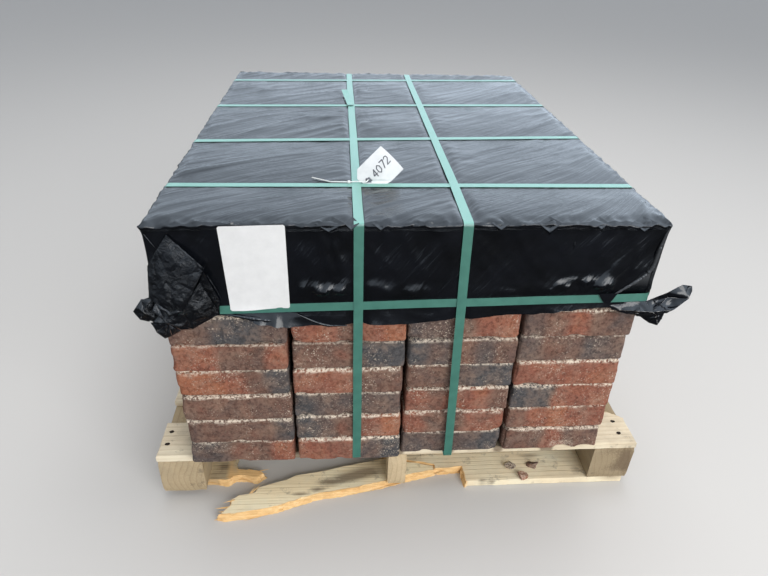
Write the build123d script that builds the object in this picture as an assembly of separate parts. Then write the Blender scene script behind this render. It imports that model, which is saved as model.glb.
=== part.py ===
"""A strapped pallet of tumbled paving stones under a film cover.

Millimetres. X runs across the front, Y from the front to the back, Z up. The origin is
on the ground at the middle of the pallet's footprint. The labelled side faces -Y.
"""

import math
import os

from build123d import *

# Pallet
pallet_width = 1000
pallet_depth = 1067
board_thickness = 16
deck_board_width = 96
deck_board_count = 7
bottom_board_width = 96
stringer_height = 89
outer_stringer_width = 89
middle_stringer_width = 39
middle_stringer_x = -11
arris = 2.5

# Paving stones
stone_width = 203.2
stone_length = 254
stone_height = 57.8
stone_chamfer = 5
columns = 4
rows = 4
layers = 9
joint_gap = 5
bed_gap = 0.2
load_x = -8.7
load_overhang = 9
column_set_out = (5, 4, -1, -4)

# Straps
strap_width = 16
strap_thickness = 0.6
strap_clearance = 0.08
long_strap_x = (-96, 80)
cross_strap_share = (-0.718, -0.2085, 0.32, 0.859)
cross_strap_turn = (0, 3, 2.7, 3.1)
cross_strap_lift = 0.55
strap_top_bend = 9
strap_low_bend = 5
girth_height = 495
girth_tilt = 1.24

# Film cover
film_thickness = 1.4
film_side_clearance = 3
film_top_clearance = 0.25
film_corner_radius = 11
film_edge_radius = 9
film_drop = 210
ear_size = 100
ear_drop_share = 0.766143

# Label, tag and tie
label_width = 104
label_height = 156
label_inset = 112
label_overlap = 5
paper_thickness = 0.3
tag_width = 58
tag_length = 73
tag_clip = 12
tag_hole = 8
tag_hole_inset = 12
tag_off_strap = 22.5
tag_turn = 45
tag_lean = 60
tie_diameter = 2.2
tie_tail = 66
tie_swing = 18

# Levels and sizes worked out from the sizes above
stringer_base = board_thickness
deck_base = stringer_base + stringer_height
deck_top = deck_base + board_thickness
front = -pallet_depth / 2
back = pallet_depth / 2
right = pallet_width / 2
left = -pallet_width / 2
strap_step = strap_thickness + strap_clearance
load_base = deck_top + 2 * strap_step + strap_clearance
load_top = load_base + layers * stone_height + (layers - 1) * bed_gap
load_half_x = (columns * stone_width + (columns - 1) * joint_gap) / 2
load_half_y = (rows * stone_length + (rows - 1) * joint_gap) / 2
load_y = front - load_overhang + load_half_y
cross_strap_y = [load_y + share * load_half_y for share in cross_strap_share]
jog_x = 0.3 * joint_gap
jog_y = 0.4 * joint_gap
film_half_x = load_half_x + film_side_clearance + film_thickness
film_half_y = load_half_y + max(column_set_out) + film_side_clearance + film_thickness
film_top = load_top + film_top_clearance + film_thickness
film_lowest = film_top - film_drop
film_front = load_y - film_half_y
label_x = load_x - film_half_x + label_inset + label_width / 2
girth_lean = strap_width / 2 * math.sin(math.radians(girth_tilt))
girth_half_x = (film_half_x + strap_clearance + girth_lean) / math.cos(math.radians(girth_tilt))


def block(x_range, y_range, z_range):
    """A box between two corners, given as one range for each axis."""
    size = [high - low for low, high in (x_range, y_range, z_range)]
    middle = [(high + low) / 2 for low, high in (x_range, y_range, z_range)]
    return Pos(*middle) * Box(*size)


def timber(x_range, y_range, z_range, along):
    """A sawn stick whose long edges, along the given axis, are worn."""
    stick = block(x_range, y_range, z_range)
    return chamfer(stick.edges().filter_by(along), arris)


def outline_plate(points, z_low, z_high):
    """A flat piece with the outline of the points, seen from above."""
    face = make_face(Polyline(*points, close=True))
    return Pos(0, 0, z_low) * extrude(face, z_high - z_low)


def facing_front(x, y, skew=0):
    """The upright plane across the load through a point, turned about the vertical."""
    turn = math.radians(skew)
    across = (math.cos(turn), math.sin(turn), 0)
    return Plane(origin=(x, y, 0), x_dir=across, z_dir=(math.sin(turn), -math.cos(turn), 0))


def facing_side(x, y):
    """The upright plane from the front to the back through a point."""
    return Plane(origin=(x, y, 0), x_dir=(0, 1, 0), z_dir=(1, 0, 0))


def stringer(centre, width):
    """One of the sticks that run from the front to the back."""
    x_range = (centre - width / 2, centre + width / 2)
    return timber(x_range, (front, back), (stringer_base, deck_base), Axis.Y)


def deck_boards():
    """The top boards, evenly spaced from the front to the back."""
    pitch = (pallet_depth - deck_board_width) / (deck_board_count - 1)
    boards = []
    for number in range(deck_board_count):
        start = front + number * pitch
        y_range = (start, start + deck_board_width)
        boards.append(timber((left, right), y_range, (deck_base, deck_top), Axis.X))
    boards[0] = boards[0] - chewed_corner()
    return boards


def chewed_corner():
    """The bite out of the first board's back right corner."""
    inner = front + deck_board_width
    reach = 0.35 * deck_board_width
    bite = ((right - reach, inner + 1), (right - 0.6 * reach, inner - 0.27 * reach),
            (right - 0.35 * reach, inner - 0.35 * reach))
    edge = ((right + 1, inner - 0.7 * reach), (right + 1, inner + 1))
    return outline_plate(bite + edge, deck_base - 1, deck_top + 1)


def bottom_board(start):
    """A whole board under the stringers."""
    y_range = (start, start + bottom_board_width)
    return timber((left + 4, right - 4), y_range, (0, stringer_base), Axis.X)


def lead_outline(shares):
    """Points of the front bottom board, in shares of the pallet's and the board's width."""
    return [(x * pallet_width, front + depth * bottom_board_width) for x, depth in shares]


def lead_board_right():
    """The part of the front bottom board that is still whole, with its splintered end."""
    crack = ((-0.026, 0.771), (0.039, 0.625), (0.077, 0.521), (0.078, 0.396), (0.112, 0.406),
             (0.139, 0.438), (0.141, 0.146), (0.142, 0))
    whole_end = ((0.492, 0), (0.492, 1), (-0.04, 1))
    return outline_plate(lead_outline(crack + whole_end), 0, stringer_base)


def lead_board_split():
    """The middle part of the front bottom board, split off and swung out to the front."""
    fresh_edge = ((-0.379, -0.646), (-0.33, -0.615), (-0.273, -0.521), (-0.237, -0.385),
                  (-0.185, -0.208), (-0.104, -0.062), (-0.037, 0.083), (0.008, 0.219), (0.076, 0.37))
    old_edge = ((0.0755, 0.49), (0.038, 0.604), (-0.033, 0.76), (-0.103, 0.615), (-0.187, 0.417),
                (-0.228, 0.354), (-0.247, 0.229), (-0.279, 0.146), (-0.307, 0.042), (-0.311, -0.083),
                (-0.345, -0.156), (-0.358, -0.25), (-0.358, -0.417))
    return outline_plate(lead_outline(fresh_edge + old_edge), 0, stringer_base)


def lead_board_stub():
    """The left end of the front bottom board, with its long splinter."""
    splinter = ((-0.49, 0.313), (-0.411, 0.292), (-0.373, 0.271), (-0.362, 0.365), (-0.346, 0.396),
                (-0.311, 0.312), (-0.297, 0.427), (-0.314, 0.531), (-0.354, 0.583), (-0.361, 0.771))
    whole_end = ((-0.358, 1), (-0.49, 1))
    return outline_plate(lead_outline(splinter + whole_end), 0, stringer_base)


def stone():
    """One tumbled paving stone, its edges worn, standing on its base at its centre."""
    lift = Pos(0, 0, stone_height / 2)
    body = Box(stone_width, stone_length, stone_height)
    return lift * chamfer(body.edges(), stone_chamfer)


def jog(column, row, layer):
    """How far a stone stands off its even place, different for each stone."""
    turn = 2.1 * column + 3.7 * row + 1.3 * layer
    return jog_x * math.sin(turn), jog_y * math.sin(1.7 * turn + 0.9)


def stone_layer(pattern, layer):
    """The outer stones of one layer, as separate solids."""
    base = load_base + layer * (stone_height + bed_gap)
    stones = []
    for column in range(columns):
        for row in range(rows):
            if 0 < column < columns - 1 and 0 < row < rows - 1:
                continue
            off_x, off_y = jog(column, row, layer)
            x = load_x - load_half_x + stone_width / 2 + column * (stone_width + joint_gap)
            y = load_y - load_half_y + stone_length / 2 + row * (stone_length + joint_gap)
            y -= column_set_out[column]
            stones.append(Pos(x + off_x, y + off_y, base) * pattern)
    return Compound(children=stones)


def stone_core():
    """The hidden stones in the middle of every layer, as one plain block."""
    half_x = load_half_x - stone_width - joint_gap
    half_y = load_half_y - stone_length - joint_gap - max(column_set_out)
    x_range = (load_x - half_x, load_x + half_x)
    y_range = (load_y - half_y, load_y + half_y)
    return block(x_range, y_range, (load_base, load_top))


def film_block(shrink, base):
    """The film's outer form, or what is inside it, shrunk by its thickness."""
    half_x = film_half_x - shrink
    half_y = film_half_y - shrink
    x_range = (load_x - half_x, load_x + half_x)
    y_range = (load_y - half_y, load_y + half_y)
    body = block(x_range, y_range, (base, film_top - shrink))
    body = fillet(body.edges().filter_by(Axis.Z), film_corner_radius - shrink)
    return fillet(body.edges().group_by(Axis.Z)[-1], film_edge_radius - shrink)


def hem_cut(shares, half, plane):
    """What lies below a hem, given as shares of a side's half and of the film's drop."""
    low = film_lowest - 5
    points = [(along * half, film_top - down * film_drop) for along, down in shares]
    hem = Spline(*points)
    sides = Polyline(points[-1], (points[-1][0], low), (points[0][0], low), points[0])
    depth = film_corner_radius + 1
    return extrude(plane * make_face([hem, sides]), depth, both=True)


def film_cover():
    """The sheet over the top of the load, with its wavy hem and two corner ears."""
    shell = film_block(0, film_lowest) - film_block(film_thickness, film_lowest - 1)
    x_end = film_half_x + 1
    y_end = film_half_y + 1
    front_hem = ((-1, 0.976), (-0.979, 0.995), (-0.879, 0.923), (-0.701, 0.819),
                 (-0.485, 0.904), (-0.033, 0.904), (0.216, 0.866), (0.468, 0.838),
                 (0.805, 0.78), (1, 0.771))
    back_hem = ((-1, 0.838), (-0.499, 0.876), (0, 0.819), (0.499, 0.895), (1, 0.828))
    left_hem = ((-1, 0.976), (-0.876, 0.838), (-0.495, 0.799), (0, 0.876), (0.514, 0.819),
                (1, 0.838))
    right_hem = ((-1, 0.771), (-0.838, 0.838), (-0.381, 0.876), (0.114, 0.819), (0.571, 0.866),
                 (1, 0.828))
    shell -= hem_cut(front_hem, x_end, facing_front(load_x, load_y - film_half_y))
    shell -= hem_cut(back_hem, x_end, facing_front(load_x, load_y + film_half_y))
    shell -= hem_cut(left_hem, y_end, facing_side(load_x - film_half_x, load_y))
    shell -= hem_cut(right_hem, y_end, facing_side(load_x + film_half_x, load_y))
    return shell + right_ear() + left_ear()


def ear(root, shares):
    """A free corner of the film in the plane of its front, in shares of the ears' size."""
    middle = film_top - ear_drop_share * film_drop
    points = [(root + x * ear_size, middle + z * ear_size) for x, z in shares]
    face = make_face(Polyline(*points, close=True))
    return extrude(facing_front(0, film_front + film_corner_radius) * face, film_thickness)


def right_ear():
    """The long pointed corner at the front right."""
    root = load_x + film_half_x - film_thickness
    outline = ((0, 0), (0.05, 0.08), (0.3, 0.27), (0.92, 0.44), (0.7, 0.23), (0.26, 0.05))
    return ear(root, outline)


def left_ear():
    """The blunt corner at the front left."""
    root = load_x - film_half_x + film_thickness
    outline = ((0, -0.23), (0, -0.12), (-0.2, 0.21), (-0.34, 0.09), (-0.22, -0.19))
    return ear(root, outline)


def band(outline, plane, width):
    """A closed strap that follows an outline, laid off to the outside."""
    inner = outline
    outer = offset(inner, strap_thickness, kind=Kind.ARC)
    return extrude(plane * (outer - inner), width / 2, both=True)


def upright_outline(half_top, half_low, low, high):
    """A strap's inner line: down the film's side, in to the stones and under them."""
    knee = film_lowest - 2
    points = ((-half_low, low), (-half_top, knee), (-half_top, high),
              (half_top, high), (half_top, knee), (half_low, low))
    face = make_face(Polyline(*points, close=True))
    top = face.vertices().filter_by_position(Axis.Y, high - 1, high + 1)
    face = fillet(top, strap_top_bend)
    bottom = face.vertices().filter_by_position(Axis.Y, low - 1, low + 1)
    return fillet(bottom, strap_low_bend)


def long_strap(x):
    """A strap from the front to the back, over all the others."""
    half_top = film_half_y + strap_step + strap_clearance
    half_low = load_half_y + max(column_set_out) + jog_y + strap_clearance
    high = film_top + cross_strap_lift + strap_step + strap_clearance
    low = deck_top + strap_clearance + strap_thickness
    outline = upright_outline(half_top, half_low, low, high)
    return band(outline, facing_side(x, load_y), strap_width)


def cross_strap(y, skew):
    """A strap from left to right, turned a little about the vertical."""
    turn = math.radians(skew)
    spread = strap_width / 2 * math.sin(turn)
    girth_reach = girth_half_x + strap_thickness + girth_lean
    half_top = (girth_reach + strap_clearance + spread) / math.cos(turn)
    half_low = (load_half_x + jog_x + strap_clearance + spread) / math.cos(turn)
    low = deck_top + strap_step + strap_clearance + strap_thickness
    outline = upright_outline(half_top, half_low, low, film_top + cross_strap_lift)
    return band(outline, facing_front(load_x, y, skew), strap_width)


def girth_strap():
    """The strap round the load's sides, a little higher at the right."""
    turn = math.radians(girth_tilt)
    half_y = film_half_y + strap_clearance
    inner = RectangleRounded(2 * girth_half_x, 2 * half_y, film_corner_radius - 1)
    rising = (math.cos(turn), 0, math.sin(turn))
    upward = (-math.sin(turn), 0, math.cos(turn))
    plane = Plane(origin=(load_x, load_y, girth_height), x_dir=rising, z_dir=upward)
    return band(inner, plane, strap_width)


def label_sheet():
    """The paper on the film's front, its lower edge over the girth strap."""
    surface = film_front - strap_step - strap_clearance
    x_range = (label_x - label_width / 2, label_x + label_width / 2)
    y_range = (surface - paper_thickness, surface)
    sink = (label_x - load_x) * math.tan(math.radians(girth_tilt))
    base = girth_height + sink - label_overlap
    return block(x_range, y_range, (base, base + label_height))


def tag_outline():
    """The tag lying flat, its hole at the origin and its square end up and to the right."""
    sheet = Pos(0, tag_length / 2 - tag_hole_inset) * Rectangle(tag_width, tag_length)
    near = sheet.vertices().group_by(Axis.Y)[0]
    sheet = chamfer(near, tag_clip) - Circle(tag_hole / 2)
    return Rot(0, 0, -tag_turn) * sheet


def tag():
    """The card tag: its corner lies under the front cross strap, the rest stands up."""
    hinge_y = cross_strap_y[0] + strap_width / 2 + 2
    hole = Pos(long_strap_x[0] + tag_off_strap, 5)
    shape = hole * tag_outline()
    side = 2 * tag_length
    above = Pos(0, side / 2) * Rectangle(4 * side, side)
    below = Pos(0, -side / 2) * Rectangle(4 * side, side)
    base = Pos(0, hinge_y, film_top + strap_clearance)
    upper = base * Rot(tag_lean, 0, 0) * extrude(shape & above, paper_thickness)
    tongue = base * extrude(shape & below, paper_thickness)
    return upper + tongue


def tag_tie():
    """The thin tie: its tail, its head beside the strap and its end through the tag's hole."""
    strap_x = long_strap_x[0]
    y = cross_strap_y[0] + strap_width / 2 + 1
    over = film_top + cross_strap_lift + 2 * strap_step + tie_diameter / 2 + 0.3
    low = film_top + tie_diameter / 2 + 0.3
    hole_x = strap_x + tag_off_strap
    head_x = strap_x - strap_width / 2 - 5
    tail_end = (head_x - tie_tail, y + tie_swing, low + 3)
    route = (tail_end, (head_x - tie_tail / 2, y + 3, low + 1), (head_x, y, over),
             (strap_x, y, over + 0.8), (hole_x - 4, y - 1, over + 0.4), (hole_x + 0.5, y + 8, over + 2.5))
    path = FilletPolyline(*route, radius=3)
    start = Plane(origin=route[0], z_dir=path % 0)
    stem = sweep(start * Circle(tie_diameter / 2), path=path)
    head = Pos(head_x, y, over) * Box(5, 6, 4)
    return stem + fillet(head.edges(), 0.8)


def nodes():
    """Every piece, under the name of its file."""
    pieces = {
        "stringer_left": stringer(left + outer_stringer_width / 2, outer_stringer_width),
        "stringer_middle": stringer(middle_stringer_x, middle_stringer_width),
        "stringer_right": stringer(right - outer_stringer_width / 2, outer_stringer_width),
        "lead_board_right": lead_board_right(),
        "lead_board_split": lead_board_split(),
        "lead_board_stub": lead_board_stub(),
        "bottom_board_middle": bottom_board(-bottom_board_width / 2),
        "bottom_board_rear": bottom_board(back - bottom_board_width),
    }
    for number, board in enumerate(deck_boards(), 1):
        pieces[f"deck_board_{number}"] = board
    pattern = stone()
    for layer in range(layers):
        pieces[f"paver_layer_{layer + 1}"] = stone_layer(pattern, layer)
    pieces["paver_core"] = stone_core()
    pieces["film_cover"] = film_cover()
    pieces["long_strap_left"] = long_strap(long_strap_x[0])
    pieces["long_strap_right"] = long_strap(long_strap_x[1])
    for number, (y, skew) in enumerate(zip(cross_strap_y, cross_strap_turn), 1):
        pieces[f"cross_strap_{number}"] = cross_strap(y, skew)
    pieces["girth_strap"] = girth_strap()
    pieces["label_sheet"] = label_sheet()
    pieces["tag"] = tag()
    pieces["tag_tie"] = tag_tie()
    return pieces


def main():
    """Write one file for each piece."""
    os.makedirs("parts", exist_ok=True)
    for name, piece in nodes().items():
        export_step(piece, f"parts/{name}.step")


main()
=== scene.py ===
"""A strapped pallet of tumbled paving stones under black film, dressed over its CAD parts.

Metres. X runs across the front, Y from the front to the back, Z up, as in the CAD.
"""

import math

import bmesh
import bpy
from mathutils import Euler, Matrix, Vector, noise


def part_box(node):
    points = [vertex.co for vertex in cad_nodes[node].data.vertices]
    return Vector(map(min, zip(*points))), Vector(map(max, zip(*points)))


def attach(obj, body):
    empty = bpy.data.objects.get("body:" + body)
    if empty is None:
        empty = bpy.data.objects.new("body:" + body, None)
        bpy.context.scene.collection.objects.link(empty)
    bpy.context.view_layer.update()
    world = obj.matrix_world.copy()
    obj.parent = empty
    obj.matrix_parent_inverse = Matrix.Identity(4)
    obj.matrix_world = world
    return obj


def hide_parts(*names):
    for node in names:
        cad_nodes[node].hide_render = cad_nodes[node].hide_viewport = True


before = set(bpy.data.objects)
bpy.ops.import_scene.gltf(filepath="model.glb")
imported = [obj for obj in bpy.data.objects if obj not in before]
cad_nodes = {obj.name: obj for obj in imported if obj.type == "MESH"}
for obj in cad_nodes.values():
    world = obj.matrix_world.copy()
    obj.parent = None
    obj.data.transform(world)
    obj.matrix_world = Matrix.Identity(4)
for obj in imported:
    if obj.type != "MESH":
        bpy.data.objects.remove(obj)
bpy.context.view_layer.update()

# The photograph's camera
camera_place = Vector((-0.12206, -1.37422, 1.04342))
camera_right = Vector((0.99745, -0.06513, 0.02910))
camera_up = Vector((0.00993, 0.53070, 0.84750))
camera_forward = Vector((0.07064, 0.84506, -0.52999))
sensor_width = 36
camera_lens = 27.394

# The load and the pallet, from the CAD
layer_names = [f"paver_layer_{number}" for number in range(1, 10)]
hidden_layers = 2
girth_low, girth_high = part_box("girth_strap")
strap_thickness = 0.0006
strap_width = 0.016
strap_gap = 0.0008
strap_bend = 0.434
film_low = Vector((girth_low.x + strap_gap, girth_low.y + strap_gap, 0.436))
film_high = Vector((girth_high.x - strap_gap, girth_high.y - strap_gap, 0.6459))
film_middle = (film_low + film_high) / 2
film_half = (film_high - film_low) / 2
long_strap_places = (-0.096, 0.080)
long_strap_feet = (-0.0975, 0.0885)
cross_strap_turns = (0.0, 0.0524, 0.0471, 0.0541)
cross_strap_places = []
for number, turn in enumerate(cross_strap_turns, 1):
    strap_low, strap_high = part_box(f"cross_strap_{number}")
    cross_strap_places.append(((strap_low.y + strap_high.y) / 2, turn))
label_middle = sum(corner.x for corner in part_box("label_sheet")) / 2
deck_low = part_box("deck_board_1")[0]
girth_middle = (girth_low.z + girth_high.z) / 2
girth_rise = (girth_high.z - girth_low.z - strap_width) / (girth_high.x - girth_low.x)
to_front = Vector((0, -1, 0))
same_place = 1e-5

# Blender starts its vector noise from the clock. A fixed start gives the same film each run
noise_start = 1795711005
noise.seed_set(noise_start)


# Numbers

def clamp(value):
    """A value kept between 0 and 1."""
    return max(0.0, min(1.0, value))


def fade(distance, reach):
    """From 1 at a place to 0 well away from it."""
    return math.exp(-(distance / reach) ** 2)


def held(distance, reach):
    """From 1 where something holds the film down to 0 away from it, more abruptly."""
    return math.exp(-(distance / reach) ** 4)


def rough(point, scale, seed=0.0):
    """Smooth noise from about -1 to 1, different for each seed."""
    return noise.noise(point * scale + Vector((seed, 1.7 * seed, -0.6 * seed)))


def wander(value, seed):
    """A slow smooth wander along one line, from about -1 to 1."""
    return noise.noise(Vector((value, seed, 0.5 * seed)))


def ridge(vector, sharpness):
    """Thin crests from 0 to 1."""
    return max(0.0, 1 - abs(2 * noise.noise(vector))) ** sharpness


def along_stops(value, stops):
    """A smooth line through (place, height) stops."""
    if value <= stops[0][0]:
        return stops[0][1]
    for (left, low), (right, high) in zip(stops, stops[1:]):
        if value <= right:
            share = (value - left) / (right - left)
            share = share * share * (3 - 2 * share)
            return low + (high - low) * share
    return stops[-1][1]


# Meshes

def mesh_object(name, points, faces, material, smooth=True):
    """A new object from points and faces, in the row frame."""
    mesh = bpy.data.meshes.new(name)
    mesh.from_pydata([tuple(point) for point in points], [], faces)
    mesh.materials.append(material)
    mesh.polygons.foreach_set("use_smooth", [smooth] * len(mesh.polygons))
    mesh.update()
    piece = bpy.data.objects.new(name, mesh)
    bpy.context.scene.collection.objects.link(piece)
    return piece


def keep_with(piece, slot, *nodes):
    """The piece rides on the load and stands for the CAD nodes, hiding them; the slot is not used."""
    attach(piece, "root")
    if nodes:
        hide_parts(*nodes)
    return piece


def point_values(piece, name, values):
    """One number for each point of the mesh, for its material to read."""
    layer = piece.data.attributes.new(name, "FLOAT", "POINT")
    layer.data.foreach_set("value", values)


def point_vectors(piece, name, vectors):
    """Three numbers for each point of the mesh, for its material to read."""
    layer = piece.data.attributes.new(name, "FLOAT_VECTOR", "POINT")
    layer.data.foreach_set("vector", [number for vector in vectors for number in vector])


def add_part(points, faces, more, shapes):
    """Adds a part's points and faces to a mesh that is being made."""
    first = len(points)
    points += more
    faces += [[first + index for index in face] for face in shapes]


def grid_faces(rows, columns):
    """Faces between points that are laid out row by row."""
    width = columns + 1
    starts = [row * width + column for row in range(rows) for column in range(columns)]
    return [[start, start + 1, start + width + 1, start + width] for start in starts]


def merged(node):
    """A CAD node's mesh with its doubled points made one."""
    source = bmesh.new()
    source.from_mesh(cad_nodes[node].data)
    bmesh.ops.remove_doubles(source, verts=source.verts, dist=same_place)
    return source


def grid_lines(low, high, cell, rim=()):
    """Places along one side of a box, close together by its ends."""
    start = rim[-1] if rim else 0
    count = max(1, round((high - low - 2 * start) / cell))
    step = (high - low - 2 * start) / count
    inner = [low + start + step * number for number in range(count + 1)]
    before = [low] + [low + depth for depth in rim[:-1]]
    after = [high - depth for depth in reversed(rim[:-1])] + [high]
    return before + inner + after if rim else inner


def box_lattice(xs, ys, zs, open_bottom=False, plain_caps=0):
    """Points and faces of a box's outside. Caps can be one face within some rows of the rim."""
    index = {}
    points = []
    faces = []
    last = (len(xs) - 1, len(ys) - 1, len(zs) - 1)

    def at(i, j, k):
        if (i, j, k) not in index:
            index[(i, j, k)] = len(points)
            points.append(Vector((xs[i], ys[j], zs[k])))
        return index[(i, j, k)]

    def cap(k, upward):
        rim = plain_caps
        for i in range(last[0]):
            for j in range(last[1]):
                inside = rim <= i < last[0] - rim and rim <= j < last[1] - rim
                if rim and inside:
                    continue
                corners = [at(i, j, k), at(i + 1, j, k), at(i + 1, j + 1, k), at(i, j + 1, k)]
                faces.append(corners if upward else corners[::-1])
        if rim:
            ring = [at(i, rim, k) for i in range(rim, last[0] - rim)]
            ring += [at(last[0] - rim, j, k) for j in range(rim, last[1] - rim)]
            ring += [at(i, last[1] - rim, k) for i in range(last[0] - rim, rim, -1)]
            ring += [at(rim, j, k) for j in range(last[1] - rim, rim, -1)]
            faces.append(ring if upward else ring[::-1])

    cap(last[2], True)
    if not open_bottom:
        cap(0, False)
    for k in range(last[2]):
        for i in range(last[0]):
            faces.append([at(i, 0, k), at(i + 1, 0, k), at(i + 1, 0, k + 1), at(i, 0, k + 1)])
            j = last[1]
            faces.append([at(i + 1, j, k), at(i, j, k), at(i, j, k + 1), at(i + 1, j, k + 1)])
        for j in range(last[1]):
            i = last[0]
            faces.append([at(i, j, k), at(i, j + 1, k), at(i, j + 1, k + 1), at(i, j, k + 1)])
            faces.append([at(0, j + 1, k), at(0, j, k), at(0, j, k + 1), at(0, j + 1, k + 1)])
    return points, faces


def rounded(point, half, radius):
    """A point of a box about the origin, moved to where the box's worn edges are, and its outward way."""
    inner = Vector([max(-h + radius, min(h - radius, p)) for p, h in zip(point, half)])
    out = point - inner
    if out.length < 1e-9:
        return point.copy(), Vector((0, 0, 1))
    out.normalize()
    return inner + out * radius, out


# Materials

def new_material(name):
    """An empty material, with its tree and its shader."""
    material = bpy.data.materials.new(name)
    material.use_nodes = True
    tree = material.node_tree
    return material, tree, tree.nodes["Principled BSDF"]


def add_node(tree, kind, inputs=None, **settings):
    """A node whose inputs are numbers, colours or other nodes' outputs."""
    node = tree.nodes.new(kind)
    for name, value in settings.items():
        setattr(node, name, value)
    for key, value in (inputs or {}).items():
        if isinstance(value, bpy.types.NodeSocket):
            tree.links.new(value, node.inputs[key])
        else:
            node.inputs[key].default_value = value
    return node


def place(tree, scale=(1, 1, 1), turn=(0, 0, 0), shift=(0, 0, 0), source=None):
    """Coordinates in metres in the object's own frame, stretched and turned."""
    start = source or add_node(tree, "ShaderNodeTexCoord").outputs["Object"]
    inputs = {"Vector": start, "Location": shift, "Rotation": turn, "Scale": scale}
    return add_node(tree, "ShaderNodeMapping", inputs).outputs[0]


def speckle(tree, vector, scale, detail=3.0, roughness=0.5, distortion=0.0):
    """Noise from 0 to 1."""
    inputs = {"Vector": vector, "Scale": scale, "Detail": detail}
    inputs.update({"Roughness": roughness, "Distortion": distortion})
    return add_node(tree, "ShaderNodeTexNoise", inputs).outputs[0]


def ramp(tree, factor, stops):
    """Colours or greys along a factor, from (place, value) stops."""
    node = add_node(tree, "ShaderNodeValToRGB", {"Fac": factor})
    elements = node.color_ramp.elements
    while len(elements) < len(stops):
        elements.new(0.5)
    for element, (position, value) in zip(elements, stops):
        element.position = position
        rgb = (value,) * 3 if isinstance(value, (int, float)) else value
        element.color = (*rgb, 1)
    return node.outputs[0]


def spots(tree, vector, texture, *stops):
    """A ramp over noise whose scale, detail, roughness and distortion are given."""
    return ramp(tree, speckle(tree, vector, *texture), stops)


def axis_value(tree, vector, axis):
    """One of the three numbers of a vector."""
    return add_node(tree, "ShaderNodeSeparateXYZ", {"Vector": vector}).outputs[axis]


def blend(tree, factor, first, second, how="MIX"):
    """Two colours mixed by a factor."""
    node = add_node(tree, "ShaderNodeMix", data_type="RGBA", blend_type=how)
    for socket, value in ((node.inputs[0], factor), (node.inputs[6], first), (node.inputs[7], second)):
        if isinstance(value, bpy.types.NodeSocket):
            tree.links.new(value, socket)
        elif isinstance(value, (int, float)):
            socket.default_value = value
        else:
            socket.default_value = (*value, 1)
    return node.outputs[2]


def sums(tree, how, *values):
    """A chain of one arithmetic step over numbers and outputs."""
    total = values[0]
    for value in values[1:]:
        total = add_node(tree, "ShaderNodeMath", {0: total, 1: value}, operation=how).outputs[0]
    return total


def bumps(tree, shader, height, distance, strength=1.0, under=None):
    """Relief on the shader, on top of other relief if any."""
    inputs = {"Height": height, "Distance": distance, "Strength": strength}
    if under:
        inputs["Normal"] = under
    normal = add_node(tree, "ShaderNodeBump", inputs).outputs[0]
    tree.links.new(normal, shader.inputs["Normal"])
    return normal


def reading(tree, name):
    """What a mesh says of its points under a name."""
    return add_node(tree, "ShaderNodeAttribute", attribute_name=name)


def finish(tree, shader, colour, roughness, shine=0.5):
    """Gives the shader its colour, its roughness and how much it shines."""
    tree.links.new(colour, shader.inputs["Base Color"])
    shader.inputs["Roughness"].default_value = roughness
    shader.inputs["Specular IOR Level"].default_value = shine


def concrete():
    """Tumbled concrete in a red, brown and charcoal blend, with sandy grit on its upper edges."""
    material, tree, shader = new_material("concrete")
    stone = reading(tree, "stone").outputs["Vector"]
    own = add_node(tree, "ShaderNodeVectorMath", {0: place(tree), 1: stone}, operation="ADD").outputs[0]
    tone = reading(tree, "tone").outputs["Fac"]
    wide = sums(tree, "SUBTRACT", speckle(tree, own, 15, 3, 0.6, 0.8), 0.5)
    lean = sums(tree, "ADD", tone, sums(tree, "MULTIPLY", wide, 0.75))
    base = ramp(tree, lean, ((0.02, (0.086, 0.084, 0.088)), (0.25, (0.122, 0.092, 0.084)),
                             (0.50, (0.172, 0.098, 0.076)), (0.76, (0.262, 0.104, 0.072)),
                             (1.00, (0.345, 0.138, 0.080))))
    coarse = spots(tree, own, (190, 5, 0.8), (0.32, 0.34), (0.48, 0.88), (0.66, 1.15))
    base = blend(tree, 0.85, base, coarse, "MULTIPLY")
    dust_and_sheen = spots(tree, own, (30, 5, 0.7), (0.46, 0.0), (0.70, 0.42))
    base = blend(tree, dust_and_sheen, base, (0.32, 0.22, 0.165))
    grains = spots(tree, own, (330, 3, 0.6), (0.58, 0.0), (0.65, 0.9))
    where = spots(tree, own, (19, 3, 0.6), (0.44, 0.06), (0.68, 1.0))
    base = blend(tree, sums(tree, "MULTIPLY", grains, where), base, (0.62, 0.53, 0.43))
    grit = reading(tree, "grit").outputs["Fac"]
    gritty = spots(tree, own, (210, 5, 0.75), (0.44, 0.0), (0.54, 1.0))
    base = blend(tree, sums(tree, "MULTIPLY", grit, gritty), base, (0.80, 0.70, 0.58))
    finish(tree, shader, base, 0.92, 0.08)
    pits = spots(tree, own, (120, 5, 0.7), (0.33, 0.0), (0.46, 1.0))
    low = bumps(tree, shader, pits, 0.0016, 0.8)
    bumps(tree, shader, speckle(tree, own, 420, 4, 0.7), 0.0009, 0.9, low)
    return material


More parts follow.
